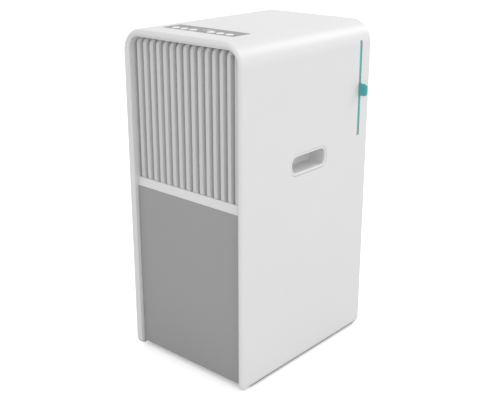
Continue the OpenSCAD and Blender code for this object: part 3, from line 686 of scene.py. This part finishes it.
def make_grille():
    count = 15
    pitch = (2 * LIP_X - 15) / (count - 0.5)
    make_row("louvres", louvre, count, (-(count - 1) / 2 * pitch, FIN_FRONT, SILL_TOP - 1),
             (pitch, 0, 0), louvre_painted_plastic())

    def build(bm):
        back = box("front_grille")[1].y
        # Ring behind the lip, and the sloped sill
        edge = 3.4
        rings = []
        for side, turn, foot in arch_stations([SILL_TOP - 12]):
            inner = arch_station(LIP_X, LIP_TOP, LIP_CORNER, side, turn)[0]
            outer = arch_station(HALF_W - edge, TOP - edge, CORNER - edge, side, turn)[0]
            if foot is not None:
                inner.y = outer.y = foot
            corners = ((inner, LIP_BACK + 0.2), (outer, LIP_BACK + 0.2), (outer, back), (inner, back))
            rings.append([(p.x, y, p.y) for p, y in corners])
        add_loft(bm, rings)
        slope = [(panel_lo.y + 0.5, panel_hi.z + 0.4), (panel_lo.y + 0.3, panel_hi.z + 1.6),
                 (panel_lo.y + 1.0, panel_hi.z + 2.8), (FIN_FRONT - 0.2, SILL_TOP - 2),
                 (FIN_FRONT + 1.4, SILL_TOP), (back, SILL_TOP), (back, panel_hi.z + 0.4)]
        add_loft(bm, [[(x, y, z) for y, z in slope] for x in (-LIP_X + 0.3, LIP_X - 0.3)])

    make_piece("louvre_frame", build, WHITE, ["front_grille"])


make_grille()


# --- bucket

def make_front_panel():
    lo, hi = panel_lo, panel_hi

    def build(bm):
        add_block(bm, lo, (hi.x, lo.y + 4, hi.z), 1.2, 4)
        for x in (lo.x, hi.x - 3):
            add_block(bm, (x, lo.y + 2, lo.z + 1), (x + 3, hi.y, hi.z - 1), 0.6, 2)
        add_block(bm, (lo.x + 1, lo.y + 2, hi.z - 4), (hi.x - 1, hi.y, hi.z - 0.3), 0.6, 2)

    make_piece("bucket_front", build, PANEL_GREY, ["front_panel"], "tank")


make_front_panel()


# --- buttons

def make_button(index):
    node = "button_%d" % index
    lo, hi = box(node)
    centre = (*halfway(lo, hi).xy, 0)
    cap, flange, stem = 7.25, (hi.x - lo.x) / 2, 2
    seat = lo.z + 5.6

    def build(bm):
        profile = [(0, lo.z), (stem, lo.z), (stem, seat - 1.2), (flange, seat - 1.2), (flange, seat),
                   (cap, seat)]
        profile += [(cap - 0.9 * (1 - cos(a)), hi.z - 0.9 * (1 - sin(a)) - 0.1)
                    for a in (0, 0.4, 0.8, 1.2, pi / 2)]
        profile += [(cap * 0.5, hi.z - 0.12), (0, hi.z - 0.15)]
        add_lathe(bm, profile, "Z", centre)

    make_piece("button_%d_cap" % index, build, BUTTON_WHITE, [node], node, 40)


for index in range(1, 7):
    make_button(index)


# --- filter

def make_filter():
    lo, hi = box("filter_frame")
    face = HALF_W - 0.8
    bar = 10
    tab_z = lo.z + 0.49 * (hi.z - lo.z)
    mid_y = halfway(lo.y, hi.y)

    def build(bm):
        soft = 0.6
        for z0, z1 in ((lo.z + 0.2, lo.z + bar), (hi.z - bar, hi.z - 0.2)):
            add_block(bm, (lo.x + 2, lo.y + 0.2, z0), (face - 2, hi.y - 0.2, z1), soft)
        for x0, x1 in ((lo.x, lo.x + bar), (face - bar, face)):
            add_block(bm, (x0, lo.y, lo.z), (x1, hi.y, hi.z), soft)
        for x in (-40, 40):
            add_block(bm, (x - 1.5, lo.y + 1, lo.z + bar / 2), (x + 1.5, lo.y + 3, hi.z - bar / 2), 0.4)
        # Pull tab: a thick tongue with round outer corners and a raised rim
        length, height = hi.x - face + 4, 22.5
        insets = ((-2.5, 1.3), (-2.2, 0.4), (-1.4, 0.0), (1.4, 0.0), (2.2, 0.4), (2.5, 1.3))
        add_sections(bm, "Y", (hi.x - length / 2, tab_z), inset_sections(
            (length, height), 6, [(mid_y + t, inset) for t, inset in insets]))
        # Thick root of the tab and a bead near its tip
        add_block(bm, (face - 1, lo.y + 0.1, tab_z - 12.2), (face + 2.6, hi.y - 0.1, tab_z + 12.2), 0.7)
        for reach in (4.5, 7.5):
            add_slab(bm, "Y", lo.y + 0.2, hi.y - 0.2, (hi.x - reach, tab_z), (1.3, 15), 0.6, 0.25)

    make_piece("filter_tray", build, TEAL, ["filter_frame"], "filter")

    mesh_lo, mesh_hi = box("filter_mesh")
    size = mesh_hi - mesh_lo
    pitch, thick = 3.2, 0.4
    across, upwards = (-thick / 2, 0, 0), (0, 0, -thick / 2)
    make_row("filter_strands_upright", lambda bm: add_block(bm, across, (thick / 2, thick, size.z)),
             int(size.x / pitch), (mesh_lo.x + pitch / 2, mesh_lo.y, mesh_lo.z), (pitch, 0, 0),
             MESH_BLACK, ["filter_mesh"], "filter")
    make_row("filter_strands_level", lambda bm: add_block(bm, upwards, (size.x, thick, thick / 2)),
             int(size.z / pitch), (mesh_lo.x, mesh_lo.y + 0.35, mesh_lo.z + pitch / 2), (0, 0, pitch),
             MESH_BLACK, (), "filter")


make_filter()


# --- control strip

def make_controls():
    lo, hi = box("control_strip")
    window_lo, window_hi = box("display_window")
    led_lo, led_hi = box("status_leds")
    middle, window = halfway(lo, hi), halfway(window_lo, window_hi)
    top, under = hi.z, TOP - WALL
    caps = [halfway(*box("button_%d" % k)) for k in range(1, 7)]
    strip = make_piece(
        "strip_overlay", lambda bm: add_slab(bm, "Z", under - 0.2, top, middle, (168, 45), 3, 0.35),
        STRIP_GREY, ["control_strip"])
    button_hole, light_hole = 7.65, 1.3
    led_x = [led_lo.x + 1.25, led_hi.x - 1.25]
    led_y = halfway(led_lo.y, led_hi.y)

    def wells(bm):
        for cap in caps:
            add_hole(bm, "Z", under - 2, top + 2, cap, button_hole)
        for x in led_x:
            add_hole(bm, "Z", under - 2, top + 2, (x, led_y), light_hole, 20)
        add_slab(bm, "Z", top - 1.5, top + 2, window, (26.3, 14.3), 1.2, 0.01)

    cut_holes(strip, wells)

    def flange(bm):
        for x in (lo.x + 3, hi.x - 3):
            add_slab(bm, "Z", under - 3, under - 0.1, (x, middle[1]), (6, hi.y - lo.y), 2)
        for y in (lo.y + 3, hi.y - 3):
            add_slab(bm, "Z", under - 3, under - 0.1, (0, y), (hi.x - lo.x - 12, 6), 2)
        for x in (-1, 1):
            for y in (-1, 1):
                add_hole(bm, "Z", lo.z, under - 0.1, (x * 77, middle[1] + y * 15.5), 3, 24)

    make_piece("strip_flange", flange, INNER_GREY)
    make_piece(
        "display_pane", lambda bm: add_slab(
            bm, "Z", window_lo.z, window_hi.z - 0.1, window, (26, 14), 1.1, 0.15),
        DISPLAY_GREY, ["display_window"])

    def segment(upright):
        loop = [(-2.2, 0), (-1.8, 0.4), (1.8, 0.4), (2.2, 0), (1.8, -0.4), (-1.8, -0.4)]
        if upright:
            loop = [(-b, a) for a, b in loop]
        return lambda bm: add_loft(bm, [[(a, b, z) for a, b in loop] for z in (-0.03, 0.03)])

    # Two digits of seven segments each
    level = window_hi.z - 0.08
    across = [(x, window.y + y, level) for x in (-3.8, 3.8) for y in (-4.8, 0, 4.8)]
    upright = [(x, window.y + y, level) for x in (-6.3, -1.3, 1.3, 6.3) for y in (-2.4, 2.4)]
    make_at_points("display_segments_level", segment(False), across, SEGMENT_GREY)
    make_at_points("display_segments_upright", segment(True), upright, SEGMENT_GREY)

    def guide(bm):
        add_lathe(bm, [(0, led_lo.z), (1.2, led_lo.z), (1.2, led_hi.z - 0.4), (1.0, led_hi.z - 0.15),
                       (0.6, led_hi.z - 0.03), (0, led_hi.z)], "Z", (0, 0, 0), 20)

    spots = [(x, led_y, 0) for x in led_x]
    make_at_points("status_light_guides", guide, spots, LIGHT_GUIDE, ["status_leds"])


make_controls()


# --- back

def arch_outline(inset, foot):
    points = [(HALF_W - inset, foot)]
    for side, turns in ((1, ARCH_TURNS), (-1, reversed(ARCH_TURNS))):
        for t in turns:
            points.append(arch_station(HALF_W - inset, TOP - inset, CORNER - inset, side, t)[0])
    return points + [(-HALF_W + inset, foot)]


def add_arch_plate(bm, y0, y1, inset, foot, edge):
    steps = ((y0, edge), (y0 + edge, 0), (y1 - edge, 0), (y1 - 0.3 * edge, 0.3 * edge), (y1, edge))
    add_loft(bm, [[(x, y, z) for x, z in arch_outline(inset + e, foot + e)] for y, e in steps])


def make_rear():
    lo, hi = box("rear_panel")
    tray_lo, tray_hi = box("filter_frame")
    face = REAR - 3
    inner = face - 3
    panel = make_piece("back_panel", lambda bm: add_arch_plate(bm, inner, face, WALL + 0.3, 0.3, 0.5),
                       WHITE, ["rear_panel"])
    drain_lo, drain_hi = box("drain_spigot")
    gland_lo, gland_hi = box("cord_gland")
    drain, gland = halfway(drain_lo, drain_hi).xz, halfway(gland_lo, gland_hi).xz
    screws = [(x, z) for x in (-75.7, 75.7) for z in (20, 332)]
    slot_rows, slot_step, slot_size = 14, 11, (101, 6)

    def slots(bm):
        for row in range(slot_rows):
            z = tray_lo.z + (13 + slot_step * row)
            for side in (-1, 1):
                add_slab(bm, "Y", inner - 2, face + 2, (side * 53.5, z), slot_size, 2.9, 0.01)
        for spot, radius, steps in [(drain, 10, 40), (gland, 7, 40)] + [(at, 2, 24) for at in screws]:
            add_hole(bm, "Y", inner - 2, face + 2, spot, radius, steps)

    cut_holes(panel, slots)

    def ledges(bm):
        for z in (tray_lo.z - 2, tray_hi.z + 2):
            add_block(bm, (lo.x + 8, lo.y, z - 1.5), (hi.x - 8, inner - 0.1, z + 1.5), 0.5)

    make_piece("filter_ledges", ledges, WHITE)

    # Raised frames round the intake and the outlets
    def frames(bm):
        for x, z, w, h in ((0, halfway(tray_lo.z, tray_hi.z), 222, 176), (drain[0], drain[1], 34, 34),
                           (gland[0], gland[1], 30, 30)):
            ring = inset_sections((w, h), 6, [
                (face - 0.2, 0), (face + 0.7, 0.2), (face + 0.9, 0.6),
                (face + 0.9, 1.4), (face + 0.7, 1.8), (face - 0.2, 2.0)])
            add_sections(bm, "Y", (x, z), ring + ring[:1], 5, caps=False)

    make_piece("back_frames", frames, WHITE)

    def screw(bm):
        add_lathe(bm, [(0, -15), (1.7, -15), (1.7, 0), (3.6, 0), (3.6, 0.9), (3.1, 1.7),
                       (2.2, 2.1), (0, 2.2)], "Y", (0, 0, 0), 32)

    spots = [(x, face, z) for x, z in screws]
    heads = make_at_points("back_screws", screw, spots, STEEL, ["rear_screws"])

    def cross_at(x, z, w, h):
        low, high = (x - w / 2, face + 1.2, z - h / 2), (x + w / 2, face + 3, z + h / 2)
        return lambda bm: add_block(bm, low, high)

    crosses = [cross_at(x, z, w, h) for x, z in screws for w, h in ((3.6, 0.8), (0.8, 3.6))]
    cut_holes(heads, *crosses, smooth_under=35)

    def spigot(bm):
        r = 6.5
        y0, y1 = drain_lo.y, drain_hi.y
        add_ring(bm, [(r, y0), (r + 1.6, y0), (r + 2.9, y0 + 3), (r + 2.0, y0 + 3.2), (r + 3.1, y0 + 7),
                      (r + 3.1, inner - 3), (r + 6, inner - 3), (r + 6, inner), (r + 3.1, inner),
                      (r + 3.1, y1 - 0.6), (r + 2.5, y1), (r + 0.4, y1), (r, y1 - 0.4)],
                 "Y", (drain[0], 0, drain[1]))

    make_piece("drain_outlet", spigot, INNER_GREY, ["drain_spigot"])

    def bush(bm):
        r = 4
        y0, y1 = gland_lo.y, gland_hi.y
        add_ring(bm, [(r, y0), (r + 2.2, y0), (r + 2.6, inner - 3), (r + 5, inner - 3), (r + 5, inner),
                      (r + 2.6, inner), (r + 2.6, face), (r + 5, face), (r + 5, y1 - 1),
                      (r + 4, y1 - 0.1), (r + 0.8, y1), (r, y1 - 0.8)], "Y", (gland[0], 0, gland[1]))

    make_piece("lead_bush", bush, RUBBER, ["cord_gland"])


make_rear()


# --- bucket, lid, handle and float

def make_bucket():
    lo, hi = box("tank_body")
    lid_lo, lid_hi = box("tank_lid")
    bail_lo, bail_hi = box("tank_handle")
    float_lo, float_hi = box("float")
    pivot_y, pivot_z = bail_hi.y - 6, halfway(bail_lo.z, bail_hi.z)
    rim, wall = lid_lo.z, 2.5
    half_x = lid_hi.x + wall
    middle = (0, halfway(lo.y, hi.y))
    size = (2 * half_x, hi.y - lo.y)

    def body(bm):
        outside = [(0, 9), (0.6, 5.5), (2.2, 2.4), (5, 0.8), (9, 0), (120, 0), (121, 0.5), (122, 0)]
        inside = [(11, 2.5), (7, 3.2), (4.4, 5.2), (3.0, 8), (2.5, 11)]
        steps = [(lo.z + z, inset) for z, inset in outside]
        steps += [(rim - 9, 0), (rim - 0.5, 0), (rim, 0.4), (rim, wall - 0.4), (rim - 0.5, wall)]
        steps += [(lo.z + z, inset) for z, inset in inside]
        add_sections(bm, "Z", middle, inset_sections(size, 16, steps), 8)
        foot, head = rim - 20, pivot_z + 5
        for x0, x1 in pair(half_x - wall, half_x):
            add_slab(bm, "X", x0, x1, (pivot_y, halfway(foot, head)), (14, head - foot), 5)
        for x0, x1 in pair(half_x, bail_hi.x):
            add_hole(bm, "X", x0 - 1, x1 - 0.1, (pivot_y, pivot_z), 3, 24)
        hinge_y, hinge_z = hi.y - wall - 10, rim - 28
        for x in (float_lo.x - 3, float_hi.x + 1.8):
            add_slab(bm, "X", x - 0.6, x + 1.8, (hinge_y + 2.5, hinge_z), (15, 10), 3)

    make_piece("water_bucket", body, BUCKET_MILK, ["tank_body"], "tank")

    spout_y, spout_r = middle[1] + size[1] / 2 - 56, 20
    lid_size = (lid_hi.x - lid_lo.x, lid_hi.y - lid_lo.y)
    lid = make_piece(
        "bucket_lid", lambda bm: add_slab(
            bm, "Z", lid_lo.z, lid_hi.z, (0, halfway(lid_lo.y, lid_hi.y)), lid_size, 14, 0.8, 8),
        BUCKET_MILK, ["tank_lid"], "tank")
    cut_holes(lid, lambda bm: add_hole(bm, "Z", lid_lo.z - 5, lid_hi.z + 5, (0, spout_y), spout_r, 64))

    # Raised rim round the drip hole and stiffening beads on the lid
    def rim_and_beads(bm):
        section = [(0, -0.4), (2.4, -0.4), (2.2, 1.0), (1.4, 1.4), (0.6, 1.2), (0, 0.6)]
        add_ring(bm, [(spout_r + out, up) for out, up in section], "Z", (0, spout_y, lid_hi.z), 64)
        for x in (-80, -45, 45, 80):
            add_slab(bm, "Z", lid_hi.z - 0.3, lid_hi.z + 1.0, (x, middle[1] - 2), (3, 110), 1.4, 0.5)

    make_piece("lid_beads", rim_and_beads, BUCKET_MILK, body="tank")

    def bail(bm):
        for x0, x1 in pair(half_x + 0.5, bail_hi.x):
            add_slab(bm, "X", x0, x1, (pivot_y - 33, pivot_z), (78, 8), 3.9, 1.2)
            add_hole(bm, "X", x0 + 0.2, x1 - 0.2, (pivot_y, pivot_z), 6, 32)
        half_grip = [(0, 0.5), (3.2, 0.5), (3.8, 0.494), (3.8, 0.36), (3.4, 0.34)]
        grip = [(r, -h) for r, h in half_grip] + half_grip[::-1]
        width = bail_hi.x - bail_lo.x
        add_lathe(bm, [(r, h * width) for r, h in grip], "X", (0, bail_lo.y + 4, pivot_z), 24)

    make_piece("bucket_bail", bail, HANDLE_GREY, ["tank_handle"], "bucket_handle")

    def foam(bm):
        x, pin_y, pin_z = halfway(float_lo.x, float_hi.x), float_hi.y - 5, float_hi.z - 5
        add_slab(bm, "Z", float_lo.z, float_lo.z + 22, (x, float_lo.y + 15), (36, 30), 5, 1.5)
        add_slab(bm, "Y", float_lo.y + 26, pin_y, (x, pin_z), (10, 4), 1, 0.4)
        add_ring(bm, [(2.1, -19.4), (5, -19.4), (5, 19.4), (2.1, 19.4)], "X", (x, pin_y, pin_z), 32)

    make_piece("float_arm", foam, FLOAT_WHITE, ["float"], "float")


make_bucket()


# --- casters

def make_caster(corner):
    wheel_lo, wheel_hi = box("caster_wheel_" + corner)
    stem_top = box("caster_fork_" + corner)[1].z
    x, axle_y, axle_z = halfway(wheel_lo, wheel_hi)
    crown = wheel_hi.z + 2

    def wheel(bm):
        r = (wheel_hi.z - wheel_lo.z) / 2
        side = [(2.05, -6), (4.4, -6), (4.9, -4.6), (r - 3.6, -4.6), (r - 3.1, -6), (r - 1.4, -6),
                (r - 0.5, -5.6), (r, -4.6), (r, -0.8), (r - 0.5, 0)]
        loop = side + [(a, -h) for a, h in reversed(side[:-1])]
        add_ring(bm, loop, "X", (x, axle_y, axle_z), 64)

    make_piece("caster_tread_" + corner, wheel, TREAD, ["caster_wheel_" + corner], "wheel_" + corner)

    def fork(bm):
        stem = axle_y - 8
        add_lathe(bm, [(0, crown), (10.6, crown), (11, crown + 0.5), (11, crown + 2.5), (10, crown + 3),
                       (4, crown + 3), (4, stem_top - 1), (3, stem_top), (0, stem_top)],
                  "Z", (x, stem, 0), 40)
        add_slab(bm, "Z", crown + 0.1, crown + 2.9, (x, stem + 4), (18.4, 18), 2.5)
        for x0, x1 in pair(6.6, 9.2, x):
            add_slab(bm, "X", x0, x1, (axle_y, halfway(axle_z, crown - 2.1)),
                     (10, crown - axle_z + 7.8), 4.8)
        add_hole(bm, "X", x - 9.2, x + 9.2, (axle_y, axle_z), 2, 24)

    make_piece("caster_yoke_" + corner, fork, CASTER_BLACK, ["caster_fork_" + corner], "caster_" + corner)


for corner in ("fr", "fl", "rr", "rl"):
    make_caster(corner)


# --- coils

PIPE_R = 4


def make_pipe(name, path, node):
    make_piece(name, lambda bm: add_tube(bm, path, PIPE_R, 14), COPPER, [node], smooth_under=60)


def make_coil(which):
    fin_lo, fin_hi = box(which + "_fins")
    rows, pitch, gauge = 7, 2.1, 0.12
    low = fin_lo.z + 20
    height = fin_hi.z - low
    half = fin_hi.x - 8
    count = int(2 * half / pitch)

    def plate(bm):
        add_block(bm, (-gauge, 0, 0), (gauge, fin_hi.y - fin_lo.y, height))

    make_row(which + "_foil", plate, count, (-(count - 1) / 2 * pitch, fin_lo.y, low), (pitch, 0, 0),
             ALUMINIUM, [which + "_fins"])

    def ends(bm):
        for x0, x1 in pair(fin_hi.x - 4, fin_hi.x - 2.6):
            add_slab(bm, "X", x0, x1, (halfway(fin_lo.y, fin_hi.y), halfway(fin_lo.z, fin_hi.z)),
                     (fin_hi.y - fin_lo.y, fin_hi.z - fin_lo.z), 2, 0.3)

    make_piece(which + "_end_plates", ends, STEEL)
    y, step = halfway(fin_lo.y, fin_hi.y), height / rows
    reach = box(which + "_tubes")[1].x - 6
    path = []
    for row in range(rows):
        z = low + (row + 0.5) * step
        side = 1 if row % 2 == 0 else -1
        path += [(-side * reach, y, z), (side * reach, y, z)]
        if row < rows - 1:
            for k in range(1, 8):
                a = pi * k / 8
                out, rise = step / 2 * sin(a) * 0.85, step / 2 * (1 - cos(a))
                path.append((side * (reach + out), y, z + rise))
    make_pipe(which + "_serpentine", path, which + "_tubes")


make_coil("evaporator")
make_coil("condenser")


# --- fan and motor

def make_fan():
    lo, hi = box("fan_wheel")
    centre = halfway(lo, hi)
    mid_y, centre.y = centre.y, 0
    reach, hub, blades = (hi.x - lo.x) / 2, 26, 7

    def wheel(bm):
        add_ring(bm, [(4.1, lo.y + 1), (9, lo.y + 1), (10, lo.y + 6), (22, lo.y + 6), (24, lo.y + 0.6),
                      (hub - 0.5, lo.y + 0.3), (hub, lo.y + 1), (hub, hi.y - 3), (hub - 1.2, hi.y - 1),
                      (hub - 4, hi.y), (4.1, hi.y)], "Y", centre, 56)
        for blade in range(blades):
            rings = []
            for k in range(9):
                t = k / 8
                r = hub - 1.5 + (reach - 0.3 - hub + 1.5) * t
                lean = radians(40 - 16 * t)
                chord = (30 + 34 * t - 8 * t ** 3)
                sweep = 2 * pi * blade / blades + 0.35 * t * t
                loop = []
                for c, thick in ((-0.5, 0.15), (-0.3, 0.9), (0.0, 1.2), (0.3, 0.8),
                                 (0.5, 0.15), (0.3, -0.8), (0.0, -1.2), (-0.3, -0.9)):
                    bow = 0.07 * chord * (1 - 4 * c * c)
                    along = c * chord * cos(lean)
                    deep = c * chord * sin(lean) * 0.55 + bow + thick
                    deep = max(min(deep, 10.6), -10.6)
                    a = sweep + along / r
                    loop.append((centre.x + r * sin(a), mid_y + deep, centre.z + r * cos(a)))
                rings.append(loop)
            add_loft(bm, rings)

    make_piece("fan_blades", wheel, FAN_BLACK, ["fan_wheel"], "fan", 40)

    plate_lo, plate_hi = box("fan_shroud")
    deck = plate_lo.z
    duct = 106
    plate = make_piece("duct_plate", lambda bm: add_loft(bm, [
        [(x, y, z) for x, z in arch_outline(WALL + 0.4, deck)] for y in (plate_hi.y - 3, plate_hi.y)]),
        PAN_BLACK, ["fan_shroud"])
    beyond = plate_hi.y + 5
    cut_holes(plate,
              lambda bm: add_hole(bm, "Y", plate_lo.y, beyond, (centre.x, centre.z), duct + 0.5, 96),
              lambda bm: add_block(bm, (-15, plate_lo.y, deck - 5), (15, beyond, deck + 13)))
    near, far = plate_lo.y, plate_hi.y
    make_piece("duct_ring", lambda bm: add_ring(bm, [
        (duct, near + 2), (duct + 0.8, near + 0.5), (duct + 2.2, near), (duct + 3, near + 1),
        (duct + 3, far - 5), (duct + 3, far - 0.2), (duct + 1.5, far), (duct, far - 1.5)],
        "Y", centre, 96), PAN_BLACK)

    motor_lo, motor_hi = box("fan_motor")

    def can(bm):
        back, front, r = motor_hi.y - 3, motor_lo.y, (motor_hi.x - motor_lo.x) / 2
        profile = [(4.2, front + 2), (12, front), (r - 5, front), (r - 1.5, front + 1.2), (r, front + 4)]
        waist = ((0.32, 0), (0.36, 1.2), (0.64, 1.2), (0.68, 0))
        profile += [(r - dip, front + (back - front) * t) for t, dip in waist]
        profile += [(r, back - 4), (r - 1.5, back - 1.2), (r - 5, back), (12, back), (11, motor_hi.y),
                    (4.2, motor_hi.y)]
        add_ring(bm, profile, "Y", centre, 56)

    make_piece("motor_can", can, ENAMEL, ["fan_motor"])


make_fan()


# --- compressor and pipes

def make_compressor():
    lo, hi = box("compressor")
    x, y, r = halfway(*box("terminal_cover")).x, halfway(lo, hi).y, 52

    def can(bm):
        profile = [(0, 0.5), (30, 0.5), (44, 3), (50, 9), (r, 17), (r, 118), (53.2, 119), (53.9, 121.5),
                   (53.2, 124), (51.6, 125.5), (51.4, 135), (49.5, 147), (44, 157), (35, 164),
                   (22, 168.5), (0, 170)]
        add_lathe(bm, [(a, lo.z + b) for a, b in profile], "Z", (x, y, 0), 72)
        add_hole(bm, "Z", hi.z - 28, hi.z, (x, y), 3, 20)
        half_foot = [(30, 13), (60, 9), (68, 7), (71, 3.5)]
        for turn in (60, 180, 300):
            c, s = cos(radians(turn)), sin(radians(turn))
            loop = [(x + a * c - b * s, y + a * s + b * c)
                    for a, b in [(a, -b) for a, b in half_foot] + half_foot[::-1]]
            add_loft(bm, [[(u, v, h) for u, v in loop] for h in (lo.z, lo.z + 3)])

    make_piece("compressor_can", can, ENAMEL, ["compressor"], smooth_under=40)
    acc_lo, acc_hi = box("accumulator")
    ax, az0, az1 = acc_hi.x - 20, acc_lo.z, acc_hi.z

    def bottle(bm):
        turns = [radians(t) for t in ARCH_TURNS]
        ends = [(20 * sin(a), 20 - 20 * cos(a)) for a in turns]
        middle = halfway(az0, az1)
        profile = [(a, az0 + b) for a, b in ends] + [(20, middle - 2), (20, middle + 2)]
        profile += [(a, az1 - b) for a, b in reversed(ends)]
        add_lathe(bm, profile, "Z", (ax, y, 0), 40)
        add_slab(bm, "Z", lo.z + 60, lo.z + 66, ((x + r + ax) / 2, y), (ax - x - r - 0.6, 12), 1, 0.4)

    make_piece("suction_bottle", bottle, COPPER, ["accumulator"], smooth_under=40)

    rise_x, coil_y, top_z = box("suction_pipe")[1] - Vector((PIPE_R, PIPE_R, PIPE_R))
    end_x, bend_z = box("evaporator_tubes")[1].x - PIPE_R, az1 + 28
    suction = [(ax, y, az1), (ax, y, bend_z), (ax, coil_y, bend_z), (rise_x, coil_y, bend_z),
               (rise_x, coil_y, top_z), (end_x, coil_y, top_z)]
    make_pipe("suction_line", softened_path(suction, 11), "suction_pipe")
    front_y, deck = box("discharge_pipe")[0].y + PIPE_R, box("mid_deck")[1].z + 20
    level = hi.z + 12
    discharge = [(x, y, hi.z), (x, y, level), (rise_x, y, level), (rise_x, y, deck),
                 (rise_x, front_y, deck), (rise_x, front_y, top_z), (end_x, front_y, top_z)]
    make_pipe("discharge_line", softened_path(discharge, 9), "discharge_pipe")


make_compressor()


# --- finishes of the CAD pieces that stay

KEPT = (
    (CIRCUIT_GREEN, "control_board", "humidity_sensor"), (RUBBER, "compressor_grommets"),
    (PAN_BLACK, "base_pan", "terminal_cover", "level_switch"), (COPPER, "capillary_tube"),
    (INNER_GREY, "partition_wall", "mid_deck", "drip_tray", "electronics_box"),
    (STEEL, "motor_shaft", "motor_bracket", "compressor_bolts", "float_pin"),
    (ALUMINIUM, "run_capacitor"))
for material, *nodes in KEPT:
    for node in nodes:
        NODES[node].data.materials.clear()
        NODES[node].data.materials.append(material)
